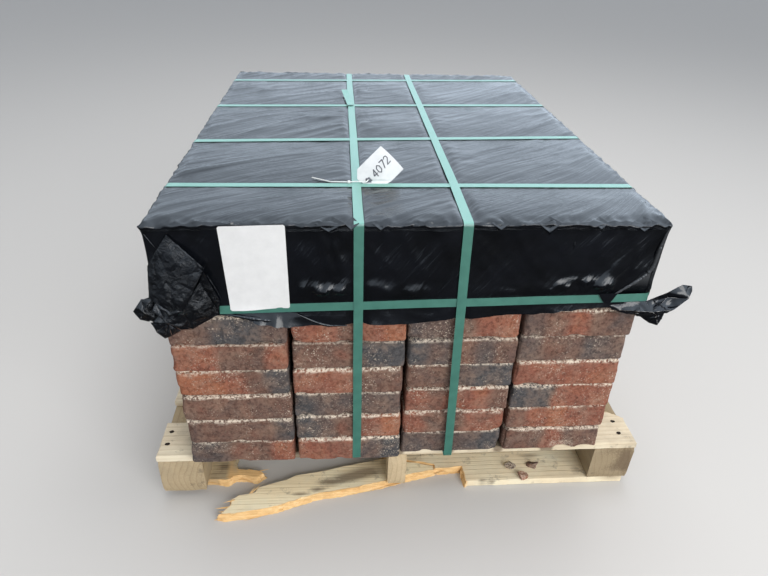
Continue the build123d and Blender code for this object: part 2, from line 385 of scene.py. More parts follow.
def growth_rings(tree, lengthwise, seed):
    """Growth rings round a heart along the stick, a little bent, from 0 to 1 across each ring."""
    squeeze = (0.05, 1, 1) if lengthwise else (1, 0.05, 1)
    here = place(tree, scale=squeeze, shift=(0.11 * seed, 0.23 * seed, -0.035 - 0.013 * (seed % 5)))
    inputs = {"Vector": here, "Scale": 7.0, "Detail": 2.0}
    swell = add_node(tree, "ShaderNodeTexNoise", inputs).outputs["Color"]
    swing = add_node(tree, "ShaderNodeVectorMath", {0: swell, "Scale": 0.045}, operation="SCALE").outputs[0]
    bent = add_node(tree, "ShaderNodeVectorMath", {0: here, 1: swing}, operation="ADD").outputs[0]
    inputs = {"Vector": bent, "Scale": 27.0, "Distortion": 1.6, "Detail": 2.0, "Detail Scale": 1.5}
    way = "X" if lengthwise else "Y"
    return add_node(tree, "ShaderNodeTexWave", inputs, wave_type="RINGS", rings_direction=way,
                    wave_profile="SAW").outputs[1]


def wood(name, along, seed, tone, dark, age=0.55):
    """Weathered sawn softwood with knots, stains, nail marks and fresh breaks."""
    material, tree, shader = new_material(name)
    lengthwise = along == "x"
    rings = growth_rings(tree, lengthwise, seed)
    long_way = (0.9, 40, 40) if lengthwise else (40, 0.9, 40)
    fibre = speckle(tree, place(tree, scale=long_way, shift=(seed, seed, seed)), 6, 4, 0.65)
    late = ramp(tree, rings, ((0.0, 0.0), (0.70, 0.20), (0.93, 1.0), (1.0, 0.2)))
    base = blend(tree, sums(tree, "MULTIPLY", late, 0.50), tone, dark)
    base = blend(tree, ramp(tree, fibre, ((0.40, 0.0), (0.80, 0.42))), base, dark)
    pale = spots(tree, place(tree, shift=(seed, 3, 0)), (9, 4, 0.6), (0.45, 0.0), (0.70, 0.55))
    base = blend(tree, pale, base, tuple(min(0.88, 1.15 * value + 0.02) for value in tone))
    grey = spots(tree, place(tree, shift=(seed, 0, 0)), (7, 5, 0.65), (0.50, 0.0), (0.75, age))
    base = blend(tree, grey, base, (0.27, 0.235, 0.18))
    knot_scale = (3.2, 6.5, 6.5) if lengthwise else (6.5, 3.2, 6.5)
    knot_place = place(tree, scale=knot_scale, shift=(1.7 * seed, 0.9 * seed, 0.4))
    knots = add_node(tree, "ShaderNodeTexVoronoi", {"Vector": knot_place, "Scale": 1.0}).outputs["Distance"]
    knots = ramp(tree, knots, ((0.06, 0.85), (0.10, 0.45), (0.16, 0.0)))
    base = blend(tree, knots, base, (0.13, 0.075, 0.040))
    dirt = spots(tree, place(tree, shift=(0, seed, 0)), (40, 5, 0.7), (0.58, 0.0), (0.72, 0.55))
    base = blend(tree, dirt, base, (0.10, 0.080, 0.060))
    streaky = sums(tree, "MULTIPLY", sums(tree, "SUBTRACT", fibre, 0.5), 0.8)
    soil = sums(tree, "ADD", reading(tree, "stain").outputs["Fac"], streaky)
    base = blend(tree, ramp(tree, soil, ((0.28, 0.0), (0.75, 0.80))), base, (0.155, 0.112, 0.075))
    strand = ramp(tree, fibre, ((0.30, (0.66, 0.40, 0.17)), (0.55, (0.86, 0.58, 0.28)),
                                (0.80, (0.95, 0.75, 0.46))))
    base = blend(tree, reading(tree, "fresh").outputs["Fac"], base, strand)
    base = blend(tree, reading(tree, "dent").outputs["Fac"], base, (0.030, 0.022, 0.018))
    finish(tree, shader, base, 0.82, 0.08)
    low = bumps(tree, shader, late, 0.0006, 0.6)
    bumps(tree, shader, fibre, 0.0012, 0.8, low)
    return material


def film_material():
    """Thin black polyethylene with fine streaks along its pull lines, calmer below the girth strap."""
    material, tree, shader = new_material("film")
    flat = reading(tree, "flat").outputs["Vector"]
    flow = reading(tree, "flow").outputs["Vector"]
    creased = reading(tree, "creased").outputs["Fac"]
    dust_and_sheen = reading(tree, "dust_and_sheen").outputs["Fac"]
    clean = spots(tree, flat, (11, 5, 0.6), (0.35, (0.0016, 0.0020, 0.0028)), (0.75, (0.005, 0.006, 0.009)))
    haze = spots(tree, flat, (7, 4, 0.6), (0.3, 0.12), (0.7, 0.25))
    haze = sums(tree, "ADD", haze, sums(tree, "MULTIPLY", creased, 0.05))
    # Painted sheen on the film: where the attribute asks for it, the near-black base is painted a paler grey in
    # place of the sky mirrored on its folds
    tree.links.new(blend(tree, dust_and_sheen, clean, (0.062, 0.066, 0.072)), shader.inputs["Base Color"])
    tree.links.new(haze, shader.inputs["Roughness"])
    shader.inputs["Specular IOR Level"].default_value = 0.40
    height = axis_value(tree, add_node(tree, "ShaderNodeNewGeometry").outputs["Position"], "Z")
    above = ramp(tree, height, ((girth_low.z, 0.2), (girth_high.z, 1.0)))
    streaks = speckle(tree, place(tree, scale=(4.5, 46, 1), source=flow), 1.0, 3, 0.5)
    fine = speckle(tree, place(tree, scale=(13, 170, 1), source=flow), 1.0, 3, 0.6)
    drawn = spots(tree, flat, (5.5, 3, 0.5), (0.42, 0.10), (0.62, 1.0))
    crushed = sums(tree, "MULTIPLY", creased, speckle(tree, flat, 75, 5, 0.7, 1.5))
    low = bumps(tree, shader, sums(tree, "MULTIPLY", above, streaks), 0.0038, 1.0)
    low = bumps(tree, shader, sums(tree, "MULTIPLY", above, fine, drawn), 0.0027, 1.0, low)
    low = bumps(tree, shader, crushed, 0.0030, 0.9, low)
    bumps(tree, shader, speckle(tree, flat, 150, 3, 0.6), 0.0004, 0.5, low)
    return material


def strap_material():
    """Green strapping with a fine pressed pattern, painted paler where it faces up as a painted highlight for
    the sky light on its top.
    """
    material, tree, shader = new_material("strapping")
    along = reading(tree, "flat").outputs["Vector"]
    shade = spots(tree, along, (40, 4, 0.6), (0.35, (0.042, 0.162, 0.128)), (0.7, (0.058, 0.205, 0.160)))
    # Painted light: faces that point up are blended to a pale mint in place of the sky light and sheen on the
    # strap's top
    skyward_painted_light = axis_value(tree, add_node(tree, "ShaderNodeNewGeometry").outputs["Normal"], "Z")
    shade = blend(tree, ramp(tree, skyward_painted_light, ((0.40, 0.0), (0.95, 1.0))), shade, (0.125, 0.335, 0.275))
    finish(tree, shader, shade, 0.30, 1.0)
    waves = []
    for turn in (0.9, -0.9):
        inputs = {"Vector": place(tree, turn=(0, 0, turn), source=along), "Scale": 160.0}
        wave = add_node(tree, "ShaderNodeTexWave", inputs, wave_type="BANDS", wave_profile="SIN")
        waves.append(wave.outputs[1])
    bumps(tree, shader, sums(tree, "ADD", *waves), 0.0002, 0.6)
    return material


def paper_material():
    """White label paper, faintly mottled."""
    material, tree, shader = new_material("paper")
    here = place(tree)
    shade = spots(tree, here, (60, 4, 0.6), (0.3, (0.66, 0.67, 0.68)), (0.7, (0.72, 0.73, 0.74)))
    finish(tree, shader, shade, 0.6)
    bumps(tree, shader, speckle(tree, here, 900, 3, 0.6), 0.0001, 0.4)
    return material


def card_material():
    """White card, a little soiled, with ink and a dark ring where the attribute says."""
    material, tree, shader = new_material("card")
    here = place(tree)
    shade = spots(tree, here, (45, 5, 0.65), (0.3, (0.56, 0.59, 0.61)), (0.62, (0.66, 0.68, 0.70)),
                  (0.75, (0.48, 0.50, 0.52)))
    shade = blend(tree, reading(tree, "ink_and_ring").outputs["Fac"], shade, (0.035, 0.035, 0.045))
    finish(tree, shader, shade, 0.45)
    bumps(tree, shader, speckle(tree, here, 700, 3, 0.6), 0.0001, 0.4)
    return material


def tie_material():
    """White moulded plastic."""
    material, tree, shader = new_material("tie")
    shade = spots(tree, place(tree), (80, 3, 0.6), (0.3, (0.62, 0.63, 0.63)), (0.7, (0.70, 0.71, 0.71)))
    finish(tree, shader, shade, 0.30)
    return material


def floor_material():
    """A plain pale floor, dark where it is mirrored so that the film stays black."""
    material, tree, shader = new_material("floor")
    mirrored = add_node(tree, "ShaderNodeLightPath").outputs["Is Glossy Ray"]
    finish(tree, shader, blend(tree, mirrored, (0.58, 0.575, 0.57), (0.045, 0.045, 0.048)), 0.9, 0.2)
    return material


# The camera, the floor and the light

def add_camera():
    """The camera that took the photograph."""
    data = bpy.data.cameras.new("camera")
    data.sensor_width = sensor_width
    data.lens = camera_lens
    data.clip_end = 50
    camera = bpy.data.objects.new("camera", data)
    turn = Matrix((camera_right, camera_up, -camera_forward)).transposed()
    camera.matrix_world = Matrix.Translation(camera_place) @ turn.to_4x4()
    bpy.context.scene.collection.objects.link(camera)
    bpy.context.scene.camera = camera


def add_floor():
    """A wide floor, not part of the object."""
    reach = 12
    points = [(-reach, -reach, 0), (reach, -reach, 0), (reach, reach, 0), (-reach, reach, 0)]
    floor = mesh_object("floor", points, [(0, 1, 2, 3)], floor_material(), smooth=False)


def add_area_light(name, place, target, size, power, colour, mirrored):
    """A soft light turned to a point, itself unseen, and mirrored or not."""
    data = bpy.data.lights.new(name, "AREA")
    data.shape = "RECTANGLE"
    data.size, data.size_y = size
    data.energy = power
    data.color = colour
    light = bpy.data.objects.new(name, data)
    way = Vector(target) - Vector(place)
    light.matrix_world = Matrix.Translation(place) @ way.to_track_quat("-Z", "Y").to_matrix().to_4x4()
    light.visible_camera = False
    light.visible_glossy = mirrored
    bpy.context.scene.collection.objects.link(light)


def add_world(seen_level, strength, sheen):
    """An even pale sky, brighter higher up and to the right where it is mirrored."""
    world = bpy.data.worlds.new("sky")
    world.use_nodes = True
    tree = world.node_tree
    sky = tree.nodes["Background"]
    rays = add_node(tree, "ShaderNodeLightPath").outputs
    seen, mirrored = rays["Is Camera Ray"], rays["Is Glossy Ray"]
    share = {0: seen, 1: seen_level - strength, 2: strength}
    level = add_node(tree, "ShaderNodeMath", share, operation="MULTIPLY_ADD").outputs[0]
    way = add_node(tree, "ShaderNodeTexCoord").outputs["Generated"]
    higher = ramp(tree, axis_value(tree, way, "Z"), ((0.0, 0.90), (0.15, 0.93), (0.40, 1.18), (0.80, 1.60)))
    slope = {0: axis_value(tree, way, "X"), 1: 0.45, 2: 1.0}
    aside = add_node(tree, "ShaderNodeMath", slope, operation="MULTIPLY_ADD").outputs[0]
    shine = sums(tree, "MULTIPLY", higher, aside, sheen)
    more = sums(tree, "MULTIPLY", mirrored, sums(tree, "SUBTRACT", shine, strength))
    level = sums(tree, "ADD", more, level)
    tree.links.new(level, sky.inputs["Strength"])
    tint = blend(tree, mirrored, (0.95, 0.97, 1.0), (0.74, 0.86, 1.0))
    tree.links.new(tint, sky.inputs["Color"])
    bpy.context.scene.world = world


# Paving stones

def stone_boxes(node):
    """The lowest and highest corner of each separate stone in a CAD layer."""
    source = merged(node)
    left_over = set(source.verts)
    boxes = []
    while left_over:
        group = [left_over.pop()]
        for vertex in group:
            for edge in vertex.link_edges:
                other = edge.other_vert(vertex)
                if other in left_over:
                    left_over.remove(other)
                    group.append(other)
        low = Vector([min(v.co[axis] for v in group) for axis in range(3)])
        high = Vector([max(v.co[axis] for v in group) for axis in range(3)])
        boxes.append((low, high))
    source.free()
    return sorted(boxes, key=lambda pair: tuple(pair[0]))


# Each front stone's blend, left to right in five letters, and how sandy its edges are, in tenths:
# one row for each column of stones, from the sixth layer down
front_levels = 6
front_tones = (("bmccm", "rrbbr", "oorbc", "bbbbb", "bbbbm", "mmbbr"),
               ("rrbro", "bbbcc", "rrrbb", "cmmmm", "cmbro", "rrrmc"),
               ("mmbrr", "cmbmb", "bbmcc", "rbrrb", "rbbrr", "mmmmc"),
               ("mbrbm", "mbbmm", "rrrrr", "ccrrr", "brorr", "bbrbb"))
front_sand = ("539687", "529689", "657966", "728996")
tone_values = {"c": 0.02, "m": 0.24, "b": 0.48, "r": 0.78, "o": 1.0}
front_left_back = (0.0080, 0.0095, 0.0070, 0.0050, 0.0040, 0.0030)
chip_place = Vector((0.3320, -0.5430, 0.1310))
chip_reach = (0.026, 0.022, 0.018)
chip_depth = 0.011


def tumbled(point, half, seed):
    """Where a point of a sharp block is once the block has been tumbled."""
    wear = (0.0070 + 0.0025 * rough(point, 22, seed)) * (0.76 + 0.24 * point.z / half.z)
    end = max(0.0, 1 - (half.x - abs(point.x)) / 0.024)
    wear *= 1 + 0.7 * end * end * (0.7 + 0.6 * math.copysign(1, point.x) * rough(Vector((0, 0, seed)), 1))
    spot, out = rounded(point, half, wear)
    gaps = sorted(h - abs(p) for p, h in zip(point, half))
    near_edge = max(0.0, 1 - gaps[1] / 0.016)
    bite = max(0.0, rough(point, 26, seed + 9) - 0.12) * 0.016 * near_edge
    side = 1 - abs(out.z) ** 4
    pocked = 0.0011 * rough(point, 55, seed + 3) + 0.0006 * rough(point, 160, seed + 5)
    return spot - out * bite + out * side * (pocked - 0.0006)


def stone_tone(across, row, column, level, point, seed):
    """How red a place on a stone is, from 0 for charcoal to 1 for orange: given for the front row."""
    if row or level >= front_levels:
        return clamp(0.45 + 1.1 * rough(point, 6, 2.7 * seed))
    letters = front_tones[column][front_levels - 1 - level]
    spot = max(0.0, min(3.999, 5 * across - 0.5 + 0.25 * rough(point, 30, seed)))
    first = int(spot)
    share = clamp((spot - first - 0.3) / 0.4)
    return tone_values[letters[first]] * (1 - share) + tone_values[letters[first + 1]] * share


def stone_sand(row, column, level, count):
    """How sandy a stone's upper edges are: given for the front row."""
    if row or level >= front_levels:
        return 0.7 + 0.3 * wander(level + 5.3 * count, 3)
    return int(front_sand[column][front_levels - 1 - level]) / 10


def stone_grit(point, half, seed, sand, chip):
    """How much sand shows at a place: along the upper edges, and a little in the chip."""
    reach = 0.0044 + 0.0050 * rough(point, 40, seed + 2) + 0.010 * max(0.0, rough(point, 13, seed + 6) - 0.2)
    reach *= 0.45 + 0.75 * sand
    edge = min(1.0, 1.3 - (half.z - point.z) / max(0.0012, reach))
    return max(0.0, edge * min(1.0, 0.3 + sand), min(0.35, 300 * chip))


def chipped(spot):
    """How far a place lies under the chip in the lowest stone at the front right."""
    away = Vector([gap / reach for gap, reach in zip(spot - chip_place, chip_reach)])
    return chip_depth * max(0.0, 1 - (away.length + 0.35 * rough(spot, 60, 4))) ** 0.6


def front_shift(row, column, level):
    """How far the front stones stand out: the left ones more towards the ground."""
    if row or level >= front_levels:
        return 0.0
    if column == 0:
        return -front_left_back[level]
    return -0.0030 - (0.0008 * (front_levels - 1 - level) if column == 1 else 0.0)


def add_stones(number, material):
    """One layer of tumbled stones in place of its CAD solids, the front row set out a little."""
    node = layer_names[number]
    plain = number >= len(layer_names) - hidden_layers
    cell = 0.026 if plain else 0.0065
    rim = (0.005, 0.012) if plain else (0.0018, 0.0042, 0.008, 0.013)
    points, faces, stones, grit, tones = [], [], [], [], []
    boxes = stone_boxes(node)
    columns = sorted({round(low.x, 1) for low, high in boxes})
    rows = sorted({round(low.y, 1) for low, high in boxes})
    for count, (low, high) in enumerate(boxes):
        half = (high - low) / 2
        row, column = rows.index(round(low.y, 1)), columns.index(round(low.x, 1))
        middle = (high + low) / 2
        forward = Vector((0, front_shift(row, column, number), 0))
        seed = 3.1 + 7.3 * count + 31.7 * number
        sand = stone_sand(row, column, number, count)
        lines = [grid_lines(-h, h, cell, rim) for h in half]
        block, block_faces = box_lattice(*lines, plain_caps=len(rim))
        moved = []
        for point in block:
            spot = middle + forward + tumbled(point, half, seed)
            chip = chipped(spot) if number == 0 else 0.0
            spot.y += chip
            moved.append(spot)
            grit.append(stone_grit(point, half, seed, sand, chip))
            across = (point.x + half.x) / (2 * half.x)
            tones.append(stone_tone(across, row, column, number, point, seed))
        stones += [(seed * 0.377, seed * 0.61, seed * 0.29)] * len(block)
        add_part(points, faces, moved, block_faces)
    add_stone_piece(f"pavers_{number + 1}", (points, faces), (stones, grit, tones), material, [node])


def add_stone_piece(name, shape, values, material, nodes=(), smooth=True):
    """A piece of concrete, with what its material reads of each point."""
    piece = mesh_object(name, *shape, material, smooth)
    point_vectors(piece, "stone", values[0])
    point_values(piece, "grit", values[1])
    point_values(piece, "tone", values[2])
    keep_with(piece, "concrete", *nodes)


# The film

front_hem = ((-0.428, 0.470), (-0.330, 0.478), (-0.304, 0.476), (-0.250, 0.462),
             (-0.213, 0.457), (-0.110, 0.4575), (-0.023, 0.457), (0.082, 0.465),
             (0.188, 0.4715), (0.329, 0.484), (0.410, 0.487))
right_fold = ((0.409, 0.6366), (0.3988, 0.5962), (0.3903, 0.5520), (0.3623, 0.5243), (0.3313, 0.4980))
tuck_places = ((-0.141, 0.018, 0.011), (-0.107, 0.009, 0.007), (-0.061, 0.011, 0.008), (0.129, 0.012, 0.008),
               (0.208, 0.015, 0.014), (0.291, 0.010, 0.007), (0.363, 0.017, 0.012))


def hem_height(point, side):
    """How high the film's lower edge is at a place on one of its four sides."""
    if side == "front":
        return along_stops(point.x, front_hem) + 0.0015 * wander(60 * point.x, 2)
    level = {"back": 0.466, "left": 0.461, "right": 0.468}[side]
    along = point.x if side == "back" else point.y
    return level + 0.012 * wander(4.5 * along, len(side)) + 0.004 * wander(17 * along, 3)


side_seeds = {"front": 1.0, "back": 12.0, "left": 23.0, "right": 34.0}
crinkle_sizes = {"front": (1.7, 0.017), "back": (1.2, 0.014)}


def side_of(point):
    """Which of the film's four sides a point is on or nearest."""
    across = abs(point.x - film_middle.x) - film_half.x
    deep = abs(point.y - film_middle.y) - film_half.y
    if across > deep:
        return "right" if point.x > film_middle.x else "left"
    return "back" if point.y > film_middle.y else "front"


def strap_lines(x):
    """Where the middles of the cross straps are on the top, at one place across."""
    return [place + (x - film_middle.x) * math.tan(turn) for place, turn in cross_strap_places]


def strap_hold(x, y):
    """How much the straps hold the film's top at a place."""
    hold = max(held(x - place, 0.015) for place in long_strap_places)
    return max(hold, *[max(held(y - line, 0.016), 0.7 * fade(y - line, 0.035)) for line in strap_lines(x)])


def pull_lines(x, y):
    """Places along and across the lines the film is pulled in, level by the left strap, leaning aside."""
    lean = 0.50 * x + 0.90 * (x + 0.1) ** 3
    across = (y - lean) / 1.15 + 0.035 * noise.noise(Vector((3.1 * x, 2.6 * y, 4)))
    along = (x + 0.7 * y) / 1.2
    return along, across


# Dips in front of the cross straps: the strap's number from 0, the place across, the width and the depth
dip_places = ((1, -0.070, 0.020, 0.0022), (1, -0.145, 0.050, 0.0020), (2, -0.040, 0.050, 0.0022),
              (1, 0.130, 0.060, 0.0018), (0, -0.020, 0.060, 0.0020), (0, 0.200, 0.050, 0.0018),
              (2, 0.170, 0.060, 0.0018), (2, -0.180, 0.050, 0.0018))


def top_wrinkle(x, y):
    """Height of the film's loose top: pillows between the straps, with folds along its pull lines."""
    along, across = pull_lines(x, y)
    folds = noise.noise(Vector((4.2 * along, 15 * across, 1.5)))
    thin = ridge(Vector((5.5 * along, 30 * across, 7.5)), 3)
    sharp = ridge(Vector((3.2 * along, 12 * across, 17.5)), 6)
    patches = 0.20 + 1.2 * max(0.0, 0.42 + noise.noise(Vector((3.4 * x, 4.4 * y, 9.2))))
    stones = noise.noise(Vector((5.2 * x, 4.4 * y, 2.2)))
    lines = strap_lines(x)
    gap = min(abs(y - line) for line in lines)
    loose = 0.0008 + 0.0018 * stones + 0.0034 * (1 - fade(gap, 0.055))
    loose += patches * (0.0021 * folds + 0.0021 * thin + 0.0029 * sharp)
    for place in long_strap_places:
        near = fade(abs(x - place) - 0.012, 0.045)
        loose += 0.0016 * near * ridge(Vector((6 * x, 44 * y + 5 * abs(x - place), 21 + place)), 2)
    for number, place, wide, deep in dip_places:
        below = y - lines[number] + strap_width / 2 + 0.002
        if abs(below) < 0.015:
            loose -= deep * fade(x - place, wide) * fade(below, 0.0055)
    hold = strap_hold(x, y)
    return (1 - hold) * loose - 0.0011 * hold * (0.7 + 0.7 * wander(8 * x + 5 * y, 6))


def edge_crinkle(along, away, side):
    """Crinkles across the film's upper edges, fading away from them."""
    seed = side_seeds[side]
    fine = ridge(Vector((70 * along, 30 * away, seed)), 2)
    middle = ridge(Vector((24 * along, 16 * away, seed + 9)), 3)
    lumps = noise.noise(Vector((13 * along, 8 * away, seed + 4)))
    size, reach = crinkle_sizes.get(side, (0.7, 0.012))
    return size * (0.0011 * fine + 0.0024 * middle + 0.0018 * lumps) * fade(away, reach)


def rim_crumple(spot, side):
    """How a point near an upper edge is pushed about by the crumpled film."""
    seed = side_seeds[side]
    first = noise.noise_vector(spot * 62 + Vector((seed, 0, 0)))
    second = noise.noise_vector(spot * 150 + Vector((0, seed, 0)))
    return (1.5 if side == "front" else 1.0) * (0.0020 * first + 0.0010 * second)


def girth_line(along):
    """Height of the girth strap's middle along the front."""
    return girth_middle + girth_rise * (along - film_middle.x)


def front_hold(x):
    """How much the label and the straps hold the film's front at a place across."""
    return max(held(x - label_middle, 0.062), *[held(x - place, 0.013) for place in long_strap_places])


# Where the girth has bunched the film up: the place across, the height, the width and how far it stands off
crumple_places = ((-0.190, 0.527, 0.020, 0.016), (-0.155, 0.529, 0.022, 0.016), (-0.122, 0.530, 0.016, 0.015),
                  (-0.062, 0.524, 0.026, 0.011), (0.000, 0.520, 0.022, 0.008), (0.245, 0.525, 0.024, 0.010),
                  (0.290, 0.531, 0.028, 0.014), (0.330, 0.533, 0.020, 0.011), (0.370, 0.558, 0.014, 0.009))


def crumpled(x, z):
    """How far the film stands off where the girth has bunched it up on the front."""
    height = sum(size * fade(x - place, reach) * fade(z - level, 0.013)
                 for place, level, reach, size in crumple_places)
    broad = ridge(Vector((21 * x, 34 * z + 9 * x, 3.3)), 2)
    slight = ridge(Vector((44 * x - 20 * z, 30 * z, 8.1)), 2)
    return height * (0.45 * broad + 0.55 * slight)


def hem_lip(along, up, flare, side):
    """How far the film's loose hem stands off below the girth."""
    seed = side_seeds[side]
    lip = flare * (0.16 + 0.30 * noise.noise(Vector((9 * along, 0, seed + 5))))
    lip += 0.0012 * ridge(Vector((20 * along, 40 * up, seed + 1)), 2) * min(1.0, flare / 0.01)
    if side == "front":
        under_label = held(along + 0.262, 0.062) * (0.75 + 0.5 * wander(70 * along, 4))
        lip += 0.50 * flare * under_label
        lip *= 1 - max(held(along - place, 0.016) for place in long_strap_places)
    return lip


def front_wrinkle(along, up, above, hold):
    """How far the film stands off its front besides: bunched, drawn to its right corner and to a fold."""
    slant = 0.87 * along - 0.49 * up
    corner = clamp((along - 0.25) / 0.10) * clamp((above - 0.012) / 0.02)
    fold = fade(along + 0.128, 0.026) * clamp((up - 0.540) / 0.03) * (1 - hold)
    return (crumpled(along, up) * (1 - hold) * clamp((above - 0.009) / 0.006)
            + 0.0046 * corner * ridge(Vector((30 * slant, 5 * (0.49 * along + 0.87 * up), 5.5)), 2.2)
            + 0.0050 * fold * ridge(Vector((60 * along + 9 * up, 7 * up, 2.2)), 2))


def side_wrinkle(along, up, side):
    """How far the film stands off its side: hanging folds, crumples above the girth, its hem below."""
    seed = side_seeds[side]
    above = up - girth_line(along if side == "front" else film_middle.x)
    hanging = noise.noise(Vector((11 * along + 5 * up, 3 * up, seed)))
    creases = ridge(Vector((16 * along + 12 * up, 5 * up, seed + 6)), 4)
    loose = (0.0013 * hanging + 0.0016 * creases) * (1 - fade(above, 0.06))
    patch_share = max(0.0, noise.noise(Vector((8 * along, 0.3, seed + 8))) + 0.30)
    if side == "front":
        hold = front_hold(along)
        loose = loose * (1 - hold) - fold_inset(along, up) + front_wrinkle(along, up, above, hold)
        patch_share *= 0.3 * (1 - hold)
    band = fade(above - 0.021, 0.013) * clamp((above - 0.009) / 0.006)
    crumple = ridge(Vector((26 * along, 60 * up + 12 * along, seed + 2)), 1.6)
    return loose + 0.0080 * band * patch_share * crumple + hem_lip(along, up, max(0.0, -above - 0.007), side)


def past_fold(x, z):
    """How far a place is to the right of the fold line at the front's right corner."""
    return x - along_stops(-z, tuple((-height, place) for place, height in right_fold))


def fold_inset(x, z):
    """How far the film lies back beyond the fold line at the front's right corner."""
    if z > right_fold[0][1] or z < right_fold[-1][1]:
        return 0.0
    return 0.006 * clamp(past_fold(x, z) / 0.006)


def painted_sheen_share(point):
    """How much painted sheen a place gets: the film beyond the fold at the front's right corner is painted a
    paler grey in place of the sky mirrored there.
    """
    top, low = right_fold[0][1] + 0.008, right_fold[2][1] - 0.030
    if point.y > film_low.y + 0.012 or not low < point.z < top:
        return 0.0
    return 0.85 * clamp(past_fold(point.x, point.z) / 0.004) * min(1.0, (point.z - low) / 0.02)


def film_point(point, edge=0.004):
    """Where a point of the plain box is on the wrinkled film."""
    half = Vector((film_half.x, film_half.y, 1.0))
    centre = Vector((film_middle.x, film_middle.y, film_high.z - 1.0))
    spot, out = rounded(point - centre, half, edge)
    spot += centre
    side = side_of(spot)
    along = spot.x if side in ("front", "back") else spot.y
    down = film_high.z - spot.z
    from_side = film_half.x - abs(spot.x - film_middle.x)
    from_end = film_half.y - abs(spot.y - film_middle.y)
    from_rim = min(from_side, from_end)
    corner = math.exp(-((from_side / 0.03) ** 2 + (from_end / 0.03) ** 2 + (down / 0.05) ** 2))
    outward = Vector((spot.x - film_middle.x, spot.y - film_middle.y, 0)).normalized() * corner * 0.001
    if out.z > 0.7:
        spot.z += top_wrinkle(spot.x, spot.y) * min(1.0, from_rim / 0.02)
        free = 1 - strap_hold(spot.x, spot.y)
        spot.z += edge_crinkle(along, from_rim, side) * free
        spot += rim_crumple(spot, side) * free * fade(from_rim, 0.012)
        if side == "front":
            spot.z -= 0.0030 * free * fade(from_end, 0.022)
        return spot + outward
    share = down / (film_high.z - film_low.z)
    spot.z = film_high.z - share * (film_high.z - hem_height(spot, side))
    push = side_wrinkle(along, spot.z, side)
    free = 1 - front_hold(along) if side == "front" else 1.0
    push += edge_crinkle(along, down, side) * free
    spot += rim_crumple(spot, side) * (fade(down, 0.012) * free)
    return spot + Vector((out.x, out.y, 0)) * push + outward


def flat_place(point):
    """Where a point of the box is on the sheet before it was laid over."""
    down = film_high.z - point.z
    x, y = point.x - film_middle.x, point.y - film_middle.y
    if abs(x) >= film_half.x - 1e-6:
        x += math.copysign(down, x)
    if abs(y) >= film_half.y - 1e-6:
        y += math.copysign(down, y)
    return Vector((x, y, 0))


def flow_place(point):
    """Places along and across the film's fine streaks."""
    if point.z > film_high.z - 0.010:
        along, across = pull_lines(point.x, point.y)
        return Vector((along, across, 0))
    run = point.x if side_of(point) in ("front", "back") else point.y
    return Vector((0.6 * run + 0.8 * point.z, 0.8 * run - 0.6 * point.z, 0.5))


def film_cap():
    """Points, faces and flat places of the film over the top and down the four sides."""
    rim = (0.0012, 0.0024, 0.0036, 0.0060, 0.0085)
    xs = [film_middle.x + value for value in grid_lines(-film_half.x, film_half.x, 0.0052, rim)]
    ys = [film_middle.y + value for value in grid_lines(-film_half.y, film_half.y, 0.0058, rim)]
    depth = film_high.z - film_low.z
    zs = [film_low.z + value for value in grid_lines(0, depth - 0.0085, 0.0052)]
    zs += [film_high.z - value for value in (0.0060, 0.0036, 0.0024, 0.0012, 0)]
    points, faces = box_lattice(xs, ys, zs, open_bottom=True)
    flats = [flat_place(point) for point in points]
    return [film_point(point) for point in points], faces, flats


def patch(corners, cell, bulge=0.0, seed=0.0, rumple=0.0012):
    """Points and faces of a four-cornered facet of film between its corners."""
    a, b, c, d = corners
    rows = max(2, round(max((d - a).length, (c - b).length) / cell))
    columns = max(2, round(max((b - a).length, (c - d).length) / cell))
    normal = (c - a).cross(d - b).normalized()
    points = []
    for row in range(rows + 1):
        v = row / rows
        for column in range(columns + 1):
            u = column / columns
            spot = (a * (1 - u) + b * u) * (1 - v) + (d * (1 - u) + c * u) * v
            rise = bulge * math.sin(math.pi * u) * math.sin(math.pi * v)
            border = min(1.0, 6 * min(u, 1 - u), 6 * min(v, 1 - v))
            fine = noise.noise(spot * 34 + Vector((seed, 0, 0)))
            fine += 1.2 * ridge(spot * 60 + Vector((0, seed, 0)), 3)
            points.append(spot + normal * (rise + rumple * fine * (0.25 + 0.75 * border)))
    return points, grid_faces(rows, columns)


def roll(stops, radius, seed):
    """A thin rolled fold along a line over the film's front: half a tube, its ends sinking in."""
    line = smooth_line(stops, 0.01, 0.003)
    points = []
    sections = 5
    last = len(line) - 1
    for step, spot in enumerate(line):
        onward = (line[min(step + 1, last)] - line[max(step - 1, 0)]).normalized()
        side = onward.cross(to_front).normalized()
        share = step / last
        size = radius * (0.35 + 0.65 * math.sin(math.pi * share)) * (1 + 0.45 * wander(90 * share, seed))
        for section in range(sections + 1):
            turn = math.pi * section / sections
            points.append(spot + side * size * math.cos(turn) + to_front * size * math.sin(turn))
    return points, grid_faces(last, sections)


def on_front(x, z, off=0.0):
    """A point in front of the film's front face."""
    return Vector((x, film_low.y - off, z))


def tuck(x, half_width, depth, seed):
    """A small pinched fold that hangs from the upper front edge."""
    top = film_high.z + 0.0008
    left = on_front(x - 1.3 * half_width, top, 0.0006)
    right = on_front(x + 1.3 * half_width, top, 0.0006)
    tip = on_front(x + 0.2 * half_width, top - 1.5 * depth, 0.0010)
    crest = on_front(x - 0.1 * half_width, top - 0.85 * depth, 0.0105)
    back = on_front(x + 0.2 * half_width, top + 0.0040, -0.016)
    shape = (left, crest, tip, right, back)
    corners = ((0, 1, 2, 2), (1, 3, 2, 2), (0, 4, 1, 1), (4, 3, 1, 1))
    return [patch([shape[corner] for corner in face], 0.0025, 0, seed, 0.0005) for face in corners]


def fan(centre, ring, seed, rumple):
    """Facets between a middle point and a row of points round it."""
    return [patch((centre, first, second, centre), 0.003, 0, seed + step, rumple)
            for step, (first, second) in enumerate(zip(ring, ring[1:]))]


